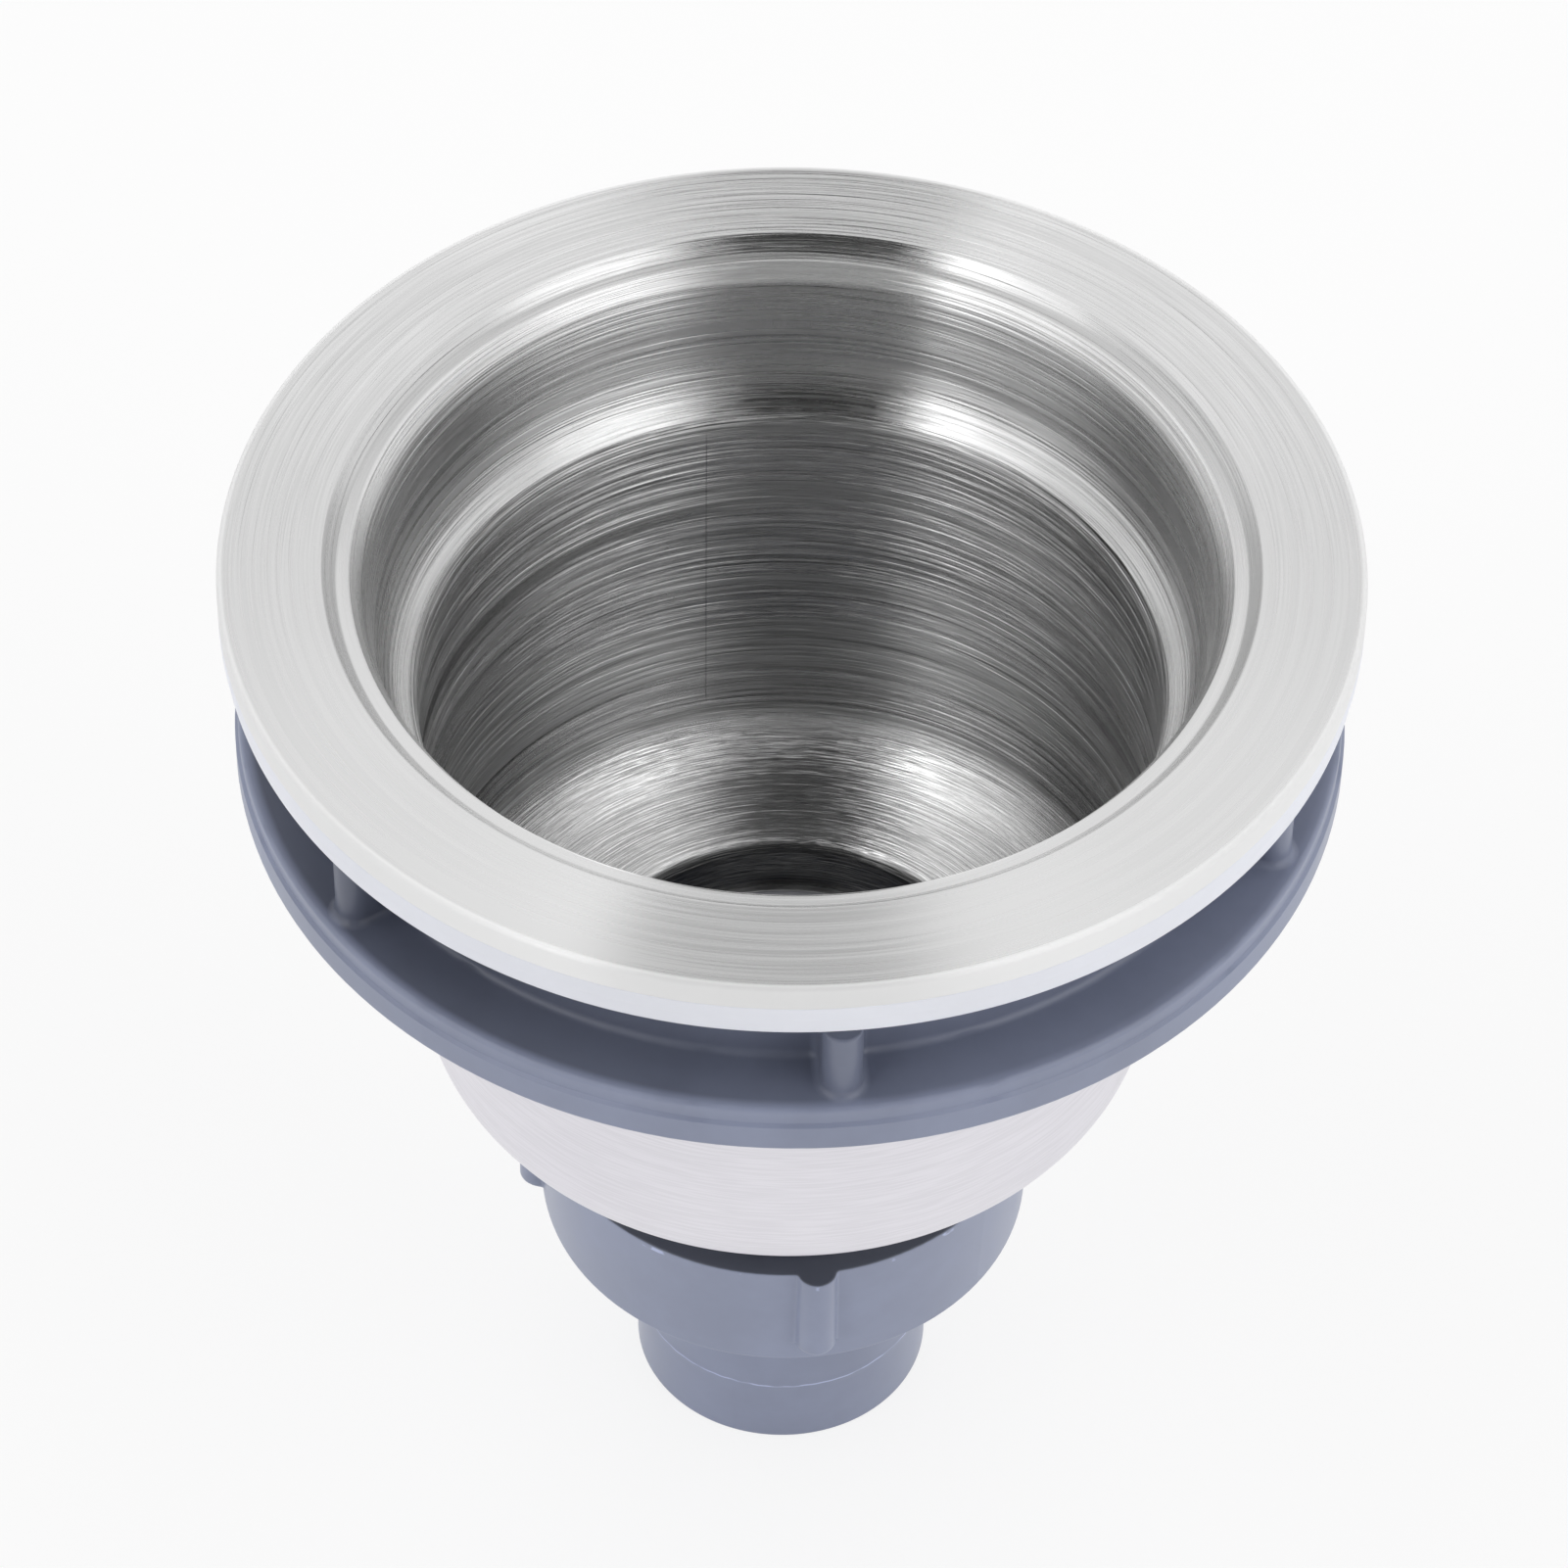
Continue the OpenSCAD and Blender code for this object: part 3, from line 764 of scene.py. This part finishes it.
def outlet_flash(n, place):
    """Shows a few pale bits left along the outlet nut's top edge."""
    high = head("outlet_nut")
    edge = n.within(n.axis(place, "Z"), high - 0.75 * MM, high - 0.3 * MM, 0.1 * MM)
    return n.times(edge, n.ramp(n.noise(place, 420.0), 0.6, 0.68, 0.0, 0.9))


def tail_line(n, place):
    """Shows the tail's pale, broken mould line."""
    level = foot("tailpiece") + bpy.context.scene.strainer_outlet.mould_line
    line = n.within(n.axis(place, "Z"), level - 0.05 * MM, level + 0.05 * MM, 0.1 * MM)
    return n.times(line, n.ramp(n.noise(place, 300.0), 0.42, 0.55, 0.35, 1.0))


def finish(name):
    """A material by name, made on first use."""
    if name in bpy.data.materials:
        return bpy.data.materials[name]
    material = bpy.data.materials.new(name)
    material.use_nodes = True
    n = Nodes(material.node_tree)
    f = bpy.context.scene.strainer_finish
    plastic = dict(roughness=0.36, grain=1400.0, mottle=70.0, change=0.07, bump=0.35, specks=0.5)
    make, base, options = {
        "Flange steel": (flange_steel, f.steel, {}),
        "Bowl steel": (bowl_steel, f.bowl_steel, {}),
        "Outer steel": (satin_steel, f.outer_steel, dict(
            waves=6.0, per_metre=3800.0, cloud=(45.0, 3.0), shares=(0.7, 0.0), tints=(0.95, 1.04),
            roughness=(0.36, 0.46), bump=(0.004, 0.4), anisotropic=0.4)),
        "Plain steel": (satin_steel, f.plain_steel, dict(
            waves=8.0, per_metre=4200.0, cloud=(120.0, 4.0), shares=(0.5, 0.5), tints=(0.8, 1.2),
            roughness=(0.28, 0.42), bump=(0.006, 0.5), anisotropic=0.5)),
        "White gasket": (moulded, f.gasket, dict(
            roughness=0.5, grain=900.0, mottle=40.0, change=0.03, bump=0.4)),
        "Black rubber": (moulded, f.rubber, dict(
            roughness=0.6, grain=1200.0, mottle=80.0, change=0.2, bump=0.6)),
        "Slip ring plastic": (moulded, f.slip_ring, dict(roughness=0.45)),
        "Nut plastic": (moulded, f.plastic, dict(plastic, painted_shade=nut_floor_shade)),
        # Painted light: the outlet nut and the tail are the nut's blue grey plastic made 10 and 5 percent
        # lighter, for how brightly they are lit.
        "Outlet plastic": (moulded, shade(f.plastic, 1.1), dict(plastic, painted_shade=outlet_top_shade, pale=outlet_flash)),
        "Tail plastic": (moulded, shade(f.plastic, 1.05), dict(plastic, pale=tail_line)),
    }[name]
    make(n, n.tree.nodes["Principled BSDF"].inputs, n.add("TexCoord")["Object"], base, **options)
    return material


# Operators


class STRAINER_OT_flange(bpy.types.Operator):
    """Build the upper pressing: flat flange, small step, mouth and basket seat"""
    bl_idname = "strainer.flange"
    bl_label = "Flange"

    def execute(self, context):
        s, d = context.scene.strainer_steel, steel()
        land = d.step - s.land_drop
        mouth_stretch, seat_stretch = 4.4, 0.6
        shown, rest = sheet_outline([
            (d.flange_out, d.top - s.lip_height, 0),
            (d.flange_out, d.top, s.edge_round),
            (d.flat_in, d.top, s.step_round),
            (d.land_out, d.step, s.step_round),
            (d.land_in + 0.12 * MM, land, 0.1 * MM),
            (d.land_in, land + s.land_bead, 0.1 * MM),
            (d.seat_out + 0.55 * s.wall_flare, land - s.mouth_drop, s.mouth_round, mouth_stretch),
            (d.seat_out, d.seat + s.seat_lip, s.seat_round, seat_stretch),
            (d.seat_in, d.seat_low + s.seat_lip, 0),
        ], s.sheet, stride=1.5 * MM)
        line = one_way(np.concatenate([shown, rest]))
        add_piece("flange_pressing", spin(line, columns=384), "cup", ["flange_ring"],
                  ["Flange steel"])
        return {"FINISHED"}


class STRAINER_OT_bowl(bpy.types.Operator):
    """Build the lower pressing: shoulder, deep wall, floor and drawn neck"""
    bl_idname = "strainer.bowl"
    bl_label = "Deep bowl"

    def execute(self, context):
        s, d = context.scene.strainer_steel, steel()
        shown, rest = sheet_outline([
            (d.seat_in + 0.03 * MM, d.seat_low, 0),
            (d.bowl_in, d.shoulder_low, s.shoulder_round),
            (d.bowl_in, d.bottom + s.sheet, s.corner_round - s.sheet),
            (d.neck_in + s.neck_round + 3.5 * MM, d.floor_low + s.sheet, 6 * MM),
            (d.neck_in, d.floor_low + s.sheet, s.neck_round),
            (d.neck_in, d.neck_foot, 0),
        ], s.sheet, stride=2 * MM, steps=14)
        loop = np.concatenate([shown, rest])
        bowl, outside, shoulder = range(3)
        finish_of = np.full(len(loop), outside)
        finish_of[:len(shown)] = np.where(shown[:, 1] > d.shoulder_low + 0.3 * MM, shoulder, bowl)
        line = one_way(loop)
        if line is not loop:
            finish_of = finish_of[::-1]
        add_piece("bowl_pressing", spin(line, columns=384), "cup", ["deep_cup"],
                  ["Bowl steel", "Outer steel", "Flange steel"], finish_of)
        return {"FINISHED"}


class STRAINER_OT_gasket(bpy.types.Operator):
    """Build the white gasket under the flange"""
    bl_idname = "strainer.gasket"
    bl_label = "White gasket"

    def execute(self, context):
        s, g, d = context.scene.strainer_steel, context.scene.strainer_seals, steel()
        lip_foot, top = d.top - s.lip_height, head("flange_gasket")
        hole = d.mouth_in + s.sheet + g.gasket_gap
        raised_out, raised_in = d.flange_out - s.sheet, d.flat_in + s.sheet
        line = outline([
            (hole, 0, 0.2 * MM), (d.flange_out - g.gasket_bevel, 0, 0.35 * MM),
            (d.flange_out, lip_foot * 0.55, 0.8 * MM), (d.flange_out, lip_foot, 0.15 * MM),
            (raised_out, lip_foot, 0.05 * MM), (raised_out, top, 0.95 * MM),
            (raised_in, top, 0.1 * MM), (raised_in, lip_foot, 0.1 * MM), (hole, lip_foot, 0.2 * MM),
        ])
        add_piece("white_gasket", spin(one_way(line), columns=320), "cup", ["flange_gasket"],
                  ["White gasket"])
        return {"FINISHED"}


class STRAINER_OT_threads(bpy.types.Operator):
    """Build the threaded collar on the bowl and the threaded outlet nipple"""
    bl_idname = "strainer.threads"
    bl_label = "Threads"

    def execute(self, context):
        s, t, d = context.scene.strainer_steel, context.scene.strainer_threads, steel()
        soft, stride = 0.35 * MM, 0.125 * MM
        bowl_out = d.bowl_in + s.sheet
        low, high = foot("thread_collar"), head("thread_collar")
        root = reach("thread_collar") - t.lock_ridge
        line = outline([(bowl_out, low, 0.1 * MM), (root, low, soft), (root, high, soft),
                        (bowl_out, high, soft)], stride=stride, steps=4)
        grid = spin(one_way(line), columns=200)
        grid = threaded(grid, grid[0] > root - NEAR, t.lock_ridge, t.lock_pitch, (0.55, 0.3),
                        (low + soft, high - soft), run=1.5 * MM)
        add_piece("collar_thread", grid, "cup", ["thread_collar"], ["Plain steel"], sharp=60)

        low, high = foot("outlet_nipple"), d.floor_low
        bore = d.neck_in - t.ledge
        root = bore + t.nipple_wall
        head_out = reach("outlet_nipple") - t.weld
        neck_out = d.neck_in + s.sheet
        shoulder = d.neck_foot - 1.2 * MM
        top = shoulder - (head_out - root)
        line = outline([
            (bore, low, 0.2 * MM), (root, low, soft), (root, top, 0.3 * MM), (head_out, shoulder, 0.3 * MM),
            (head_out, high - t.weld, 0.8 * MM), (head_out + t.weld, high, 0.15 * MM),
            (neck_out + s.neck_round, high, 0.2 * MM), (neck_out, high - s.neck_round, 0.2 * MM),
            (neck_out, d.neck_foot, 0.05 * MM), (bore, d.neck_foot, 0.15 * MM)], stride=stride, steps=4)
        grid = spin(one_way(line), columns=200)
        radius, height, angle = threaded(grid, grid[0] > root - NEAR, t.outlet_ridge, t.outlet_pitch,
                                         (0.58, 0.22), (low + soft, top), run=1.2 * MM)
        bead = (height > high - t.weld) & (radius > head_out - NEAR)
        radius = radius - 0.12 * MM * bead * (1 + np.sin(90 * angle + 2 * ripple(angle, 12, 5)))
        add_piece("nipple_thread", (radius, height, angle), "cup", ["outlet_nipple"],
                  ["Plain steel"], sharp=60)
        return {"FINISHED"}


class STRAINER_OT_washers(bpy.types.Operator):
    """Build the rubber washer, the slip ring and the tail's seal"""
    bl_idname = "strainer.washers"
    bl_label = "Washers and seal"

    def execute(self, context):
        g = context.scene.strainer_seals
        wide = g.washer_width
        for name, node, body, slot, material, width in (
                ("rubber_washer", "sink_washer", "washers", "black_rubber", "Black rubber", wide),
                ("turning_ring", "slip_ring", "washers", "pale_plastic", "Slip ring plastic", wide),
                ("rubber_seal", "tail_seal", "seal", "black_rubber", "Black rubber", g.seal_width)):
            low, high, outer = foot(node), head(node), reach(node)
            soft = min(0.3 * MM, (high - low) / 4)
            corners = (outer - width, low), (outer, low), (outer, high), (outer - width, high)
            line = outline([(*corner, soft) for corner in corners])
            add_piece(name, spin(one_way(line), columns=240), body, [node], [material])
        return {"FINISHED"}


class STRAINER_OT_lock_nut(bpy.types.Operator):
    """Build the large nut: barrel with grip ribs, floor, rim, webs underneath and inner thread"""
    bl_idname = "strainer.lock_nut"
    bl_label = "Lock nut"

    def execute(self, context):
        k, t = context.scene.strainer_lock_nut, context.scene.strainer_threads
        soft, edge, plain = 0.3 * MM, 0.8 * MM, 5
        rim_out, low, high = reach("lock_nut"), foot("lock_nut"), head("lock_nut")
        barrel_out = rim_out - k.floor_width
        barrel_in = barrel_out - k.barrel_wall
        hub_in = reach("thread_collar") + t.lock_gap
        hub_out, hub_top = hub_in + k.hub_wall, high - k.hub_drop
        floor_top = high - k.barrel_height
        ceiling = floor_top - k.floor
        rim_in, lip_out = rim_out - k.rim_wall, rim_out - k.rim_step
        lip_foot, floor_out = floor_top - k.rim_lip, lip_out - k.rim_round - 0.15 * MM
        half = k.rib_width / 2
        rib = {"centre": barrel_out + k.rib_reach - half, "half": half, "fillet": 1 * MM, "counts": (4, 3, 5)}
        sector = FULL_TURN / (2 * k.ribs)
        even = even_angles(ribbed_row(barrel_out, rib, 0, sector, plain)[1], plain)
        columns = len(even)
        nut = NutRows(np.concatenate([even, even + sector]))

        def ribbed(_, grow):
            """The barrel's line over one ribbed and one plain sector, the same at every height."""
            radius, angle = ribbed_row(barrel_out, rib, grow, sector, plain)
            return (np.concatenate([radius, np.full(columns, barrel_out + grow)]),
                    np.concatenate([angle, even + sector]))

        nut.put_line([(rim_out - 1.2 * MM, low, 0), (rim_out, low, soft),
                      (rim_out, lip_foot - k.rim_step, 0.12 * MM), (lip_out, lip_foot, 0.12 * MM),
                      (lip_out, floor_top, k.rim_round), (floor_out, floor_top, 0)])
        for row in towards(nut.ring(floor_out), ribbed(floor_top, edge), 4):
            nut.put(row, floor_top)
        for turn in np.radians(np.linspace(90, 0, 7)):
            height = floor_top + edge * (1 - math.sin(turn))
            nut.put(ribbed(height, edge * (1 - math.cos(turn))), height)
        for height in np.linspace(floor_top + edge + GUARD, high - soft - GUARD, 4):
            nut.put(ribbed(height, 0), height)
        nut.put_top(ribbed, high, soft, barrel_in + 0.8 * MM)
        nut.put_line([(barrel_in + 0.8 * MM, high, 0), (barrel_in, high, soft),
                      (barrel_in, hub_top, 0.6 * MM), (hub_in, hub_top, soft), (hub_in, low, soft),
                      (hub_out, low, soft), (hub_out, low + 0.45 * MM, 0)], stride=0.4 * MM)

        # Under the floor each sector has a web. Its columns lie at set distances from the web's middle
        # line, and the columns beside it spread evenly out to the plain stretch.
        middle = columns // 2
        step, side = np.abs(np.arange(columns) - middle), np.sign(np.arange(columns) - middle)
        set_out = np.array([0, 0.35, 0.7, 1, 1.05, 1.4]) * k.web / 2
        web_foot = low + 0.6 * MM
        roof = np.full(columns, ceiling)
        for at, level in ((4, ceiling - soft), (3, web_foot + soft), (2, web_foot)):
            roof[step <= at] = level
        roof = np.tile(roof, 2)
        last = (columns - 2 * plain) // 2

        def webbed(radius):
            """A circle whose columns follow the web's sides."""
            edge_at = radius * math.sin(even[middle + last])
            spread = set_out[-1] + (edge_at - set_out[-1]) * (step - 5) / (last - 5)
            across = np.where(step < 6, set_out[np.minimum(step, 5)], spread)
            inner = np.arcsin(np.clip(across / radius, 0, 1)) * side
            angle = np.where(step <= last, inner, even)
            return np.full(2 * columns, radius), np.concatenate([angle, angle + sector])

        start = low + 0.5 * MM
        rises = [np.maximum(start + (roof - soft - start) * share, start - 0.02 * MM)
                 for share in (0.15, 0.5, 1)]
        for rise in rises:
            nut.put(webbed(hub_out), rise)
        for share in (0, 0.04, 0.35, 0.65, 0.96, 1):
            nut.put(webbed(hub_out + soft + share * (rim_in - hub_out - 2 * soft)), roof)
        for rise in rises[::-1]:
            nut.put(webbed(rim_in), rise)
        for radius, height in ((rim_in, low + soft), (rim_in + soft, low), (rim_in + soft + 0.15 * MM, low)):
            nut.put(webbed(radius), height)

        grid = nut.whole(k.ribs, LOCK_PHASE, hub_in, t.lock_ridge, t.lock_pitch, (0.52, 0.3),
                         (low + soft, hub_top - soft))
        add_piece("large_nut", grid, "lock_nut", ["lock_nut"], ["Nut plastic"], sharp=50)
        return {"FINISHED"}


class STRAINER_OT_outlet_nut(bpy.types.Operator):
    """Build the outlet nut: drafted wall with round ribs, inner lip and inner thread"""
    bl_idname = "strainer.outlet_nut"
    bl_label = "Outlet nut"

    def execute(self, context):
        o, t = context.scene.strainer_outlet, context.scene.strainer_threads
        soft, dome, plain = 0.3 * MM, 0.7 * MM, 14
        low, high = foot("outlet_nut"), head("outlet_nut")
        rib_low, lip_top = low + o.rib_foot, low + o.nut_lip
        bore = steel().neck_in - t.ledge + t.nipple_wall + t.outlet_ridge + t.outlet_gap
        wall_foot = bore + o.nut_wall
        lip_in = o.tail / 2 + o.tail_gap
        rib = {"centre": wall_foot + o.nut_draft / 2, "half": o.rib_radius, "fillet": 0.5 * MM,
               "counts": (4, 0, 8)}
        sector = FULL_TURN / o.ribs
        nut = NutRows(even_angles(ribbed_row(wall_foot, rib, 0, sector, plain)[1], plain))

        def wall(height):
            """The drafted wall's radius at a height."""
            return wall_foot + o.nut_draft * (height - low) / (high - low)

        def ribbed(height, grow):
            """The wall's line with its rib at a height."""
            return ribbed_row(wall(height), rib, grow, sector, plain)

        nut.put_line([(lip_in + 1 * MM, low, 0), (wall(low), low, soft), (wall(rib_low), rib_low, 0)])
        for turn in np.radians(np.linspace(10, 90, 7)):
            height = rib_low + dome * (1 - math.cos(turn))
            nut.put(blend(nut.ring(wall(height)), ribbed(height, 0), math.sin(turn)), height)
        for height in np.linspace(rib_low + dome + 0.2 * MM, high - soft - GUARD, 8):
            nut.put(ribbed(height, 0), height)
        nut.put_top(ribbed, high, soft, bore + 0.6 * MM)
        nut.put_line([(bore + 0.6 * MM, high, 0), (bore, high, 0.4 * MM), (bore, lip_top, 0.5 * MM),
                      (lip_in, lip_top, soft), (lip_in, low, soft), (lip_in + 0.8 * MM, low, 0)],
                     stride=0.3 * MM, steps=4)

        grid = nut.whole(o.ribs, OUTLET_PHASE, bore, t.outlet_ridge - 0.1 * MM, t.outlet_pitch,
                         (0.5, 0.22), (lip_top + 1.5 * MM, high - 0.5 * MM))
        add_piece("small_nut", grid, "outlet_nut", ["outlet_nut"], ["Outlet plastic"],
                  sharp=50)
        return {"FINISHED"}


class STRAINER_OT_tail(bpy.types.Operator):
    """Build the flanged tail with its mould line"""
    bl_idname = "strainer.tail"
    bl_label = "Tail"

    def execute(self, context):
        o, g = context.scene.strainer_outlet, context.scene.strainer_seals
        low, high, flange_out = foot("tailpiece"), head("tailpiece"), reach("tailpiece")
        outer, inner = o.tail / 2, o.tail / 2 - o.tail_wall
        nut_foot, flange_low = foot("outlet_nut"), high - o.tail_flange
        funnel_low = flange_low - o.nut_lip + 2 * MM
        soft, relieved = 0.25 * MM, outer - 0.3 * MM
        line = outline([
            (inner, low, soft), (outer, low, soft), (outer, nut_foot - 0.4 * MM, 0.1 * MM),
            (relieved, nut_foot, 0.1 * MM), (relieved, flange_low, 0.3 * MM), (flange_out, flange_low, soft),
            (flange_out, high, soft), (flange_out - g.seal_width - 0.4 * MM, high, soft),
            (inner, funnel_low, 3 * MM)], stride=0.5 * MM, steps=5)
        radius, height, angle = spin(one_way(line), columns=256)
        away = (height - low - o.mould_line) / (0.16 * MM)
        bead = np.exp(-away ** 2) * (radius > outer - NEAR)
        grid = radius + 0.05 * MM * bead * (1 + 0.8 * ripple(angle, 60, 3)), height, angle
        add_piece("tail_pipe", grid, "tail", ["tailpiece"], ["Tail plastic"])
        return {"FINISHED"}


class STRAINER_OT_stage(bpy.types.Operator):
    """Build the floor, the soft studio light and the camera"""
    bl_idname = "strainer.stage"
    bl_label = "Stage"

    def execute(self, context):
        self.floor(context)
        self.world(context)
        self.lamps(context)
        self.camera(context)
        context.scene.view_settings.view_transform = "Standard"
        return {"FINISHED"}

    def floor(self, context):
        """A wide pale floor that shows nearly white, seen straight, in a reflection or through glass, and
        keeps a soft shadow. From below it isn't seen."""
        half, level = 4.0, cad_low.z - 0.05 * MM
        corners = [(-half, -half, level), (half, -half, level), (half, half, level), (-half, half, level)]
        mesh = bpy.data.meshes.new("studio_floor")
        mesh.from_pydata(corners, [], [(0, 1, 2, 3)])
        plane = add_object("studio_floor", mesh)
        material = bpy.data.materials.new("Studio floor")
        material.use_nodes = True
        mesh.materials.append(material)
        n = Nodes(material.node_tree)
        n.tree.nodes.remove(n.tree.nodes["Principled BSDF"])
        path = n.add("LightPath")
        shown = n.maths("MAXIMUM", path["Is Camera Ray"], path["Is Glossy Ray"])
        white_share = n.times(n.maths("MAXIMUM", shown, path["Is Transmission Ray"]), 0.8)
        paint = tuple(context.scene.strainer_finish.floor)
        matt = n.add("BsdfDiffuse", {"Color": paint})[0]
        glow = n.add("Emission", {"Color": WHITE, "Strength": 1.0})[0]
        clear = n.add("BsdfTransparent")[0]
        lit = n.add("MixShader", {0: white_share, 1: matt, 2: glow})[0]
        back = n.add("NewGeometry")["Backfacing"]
        both = n.add("MixShader", {0: back, 1: lit, 2: clear})[0]
        n.fill(n.tree.nodes["Material Output"].inputs, {"Surface": both})

    def world(self, context):
        """White to the camera, and a white tent with a dark gap to everything else.

        The gap runs from the front over the top. A direction lies in it where its distance from the
        middle plane, over its distance from a line behind the top, is small. It fades out at the back and
        is weaker near the horizon. The tent is brightest on both sides of it, and dimmer at the back's
        sides and low on the left."""
        world = bpy.data.worlds.new("Studio")
        world.use_nodes = True
        context.scene.world = world
        n = Nodes(world.node_tree)
        n.tree.nodes.clear()
        way = n.add("TexCoord")["Generated"]
        x, y, z = (n.axis(way, name) for name in "XYZ")
        left, aside = n.maths("LESS_THAN", x, 0.0), n.maths("ABSOLUTE", x)
        ahead = n.maths("MAXIMUM", n.maths("SUBTRACT", 0.72, y), 0.05)
        spread = n.maths("DIVIDE", n.times(aside, n.less(left, 0.15)), ahead)
        start = n.plus(0.17, n.times(left, 0.08))
        edge = n.maths("SUBTRACT", 0.34, n.times(left, 0.04))
        gap = n.times(n.drop(spread, start, edge), n.drop(y, 0.36, 0.64), n.ramp(z, 0.05, 0.35, 0.7, 1.0))
        near = n.times(left, n.ramp(spread, 0.3, 0.48, 1.1, 0.0))
        glow = n.times(n.plus(n.times(n.drop(spread, 0.45, 0.9), 0.45), near), n.ramp(spread, start, edge),
                       n.drop(y, -0.1, 0.45), n.ramp(z, 0.0, 0.3))
        side = n.times(n.ramp(aside, 0.15, 0.5), n.ramp(y, 0.45, 0.65), 0.34)
        dusk = n.times(n.drop(x, -0.6, -0.1), n.drop(z, 0.1, 0.4), 0.45)
        level = n.times(n.plus(n.less(gap, 0.97), glow), n.less(n.maths("MAXIMUM", side, dusk)))
        tent = n.add("CombineColor", {0: level, 1: level, 2: level})[0]
        path = n.add("LightPath")
        direct = n.maths("MAXIMUM", path["Is Camera Ray"], path["Is Transmission Ray"])
        sky = n.add("Background", {"Color": n.mix(direct, tent, WHITE), "Strength": 1.0})[0]
        n.add("OutputWorld", {"Surface": sky})

    def lamps(self, context):
        """Two large soft boxes, left and right in front, and a weaker one high behind."""
        for name, place, width, power in (("left_box", (-0.95, -0.7, 0.85), 0.8, 0.45),
                                          ("right_box", (0.95, -0.7, 0.85), 0.8, 1.3),
                                          ("back_box", (0.0, 1.1, 1.0), 1.0, 0.5)):
            lamp = bpy.data.lights.new(name, "AREA")
            lamp.shape, lamp.size, lamp.energy = "SQUARE", width, power
            lamp_object = add_object(name, lamp)
            lamp_object.location = place
            lamp_object.rotation_euler = (-Vector(place)).to_track_quat("-Z", "Y").to_euler()

    def camera(self, context):
        """The photograph's view: eye, tilt below the horizon, roll and lens."""
        eye = Vector((-0.5, -500.0, 516.1)) * MM
        tilt, roll, lens = math.radians(47.357), 0.0142, 165.4
        data = bpy.data.cameras.new("camera")
        data.sensor_width, data.lens = 36.0, lens
        data.clip_start, data.clip_end = 0.01, 20.0
        camera = add_object("camera", data)
        turn = Matrix.Rotation(math.pi / 2 - tilt, 4, "X") @ Matrix.Rotation(roll, 4, "Z")
        camera.matrix_world = Matrix.Translation(eye) @ turn
        context.scene.camera = camera


PIECES = (STRAINER_OT_flange, STRAINER_OT_bowl, STRAINER_OT_gasket, STRAINER_OT_threads,
          STRAINER_OT_washers, STRAINER_OT_lock_nut, STRAINER_OT_outlet_nut, STRAINER_OT_tail,
          STRAINER_OT_stage)
GROUPS = (("strainer_steel", SteelSizes), ("strainer_threads", ThreadSizes), ("strainer_seals", SealSizes),
          ("strainer_lock_nut", LockNutSizes), ("strainer_outlet", OutletSizes), ("strainer_finish", Finish))


class STRAINER_PT_panel(bpy.types.Panel):
    """Sizes, colours and build steps of the strainer"""
    bl_label = "Sink strainer"
    bl_idname = "STRAINER_PT_panel"
    bl_space_type = "VIEW_3D"
    bl_region_type = "UI"
    bl_category = "Strainer"

    def draw(self, context):
        for operator in PIECES:
            self.layout.operator(operator.bl_idname)
        for name, kind in GROUPS:
            box = self.layout.box()
            box.label(text=kind.__doc__)
            for key in kind.__annotations__:
                box.prop(getattr(context.scene, name), key)


CLASSES = (*(kind for _, kind in GROUPS), *PIECES, STRAINER_PT_panel)


def register():
    """Registers the classes and puts the sizes on the scene."""
    for kind in CLASSES:
        bpy.utils.register_class(kind)
    for name, kind in GROUPS:
        setattr(bpy.types.Scene, name, PointerProperty(type=kind))


def unregister():
    """Takes the sizes off the scene and the classes out."""
    for name, _ in GROUPS:
        delattr(bpy.types.Scene, name)
    for kind in reversed(CLASSES):
        bpy.utils.unregister_class(kind)


def main():
    """Builds the strainer and its stage."""
    register()
    for operator in PIECES:
        family, step = operator.bl_idname.split(".")
        getattr(getattr(bpy.ops, family), step)()


if __name__ == "__main__":
    main()
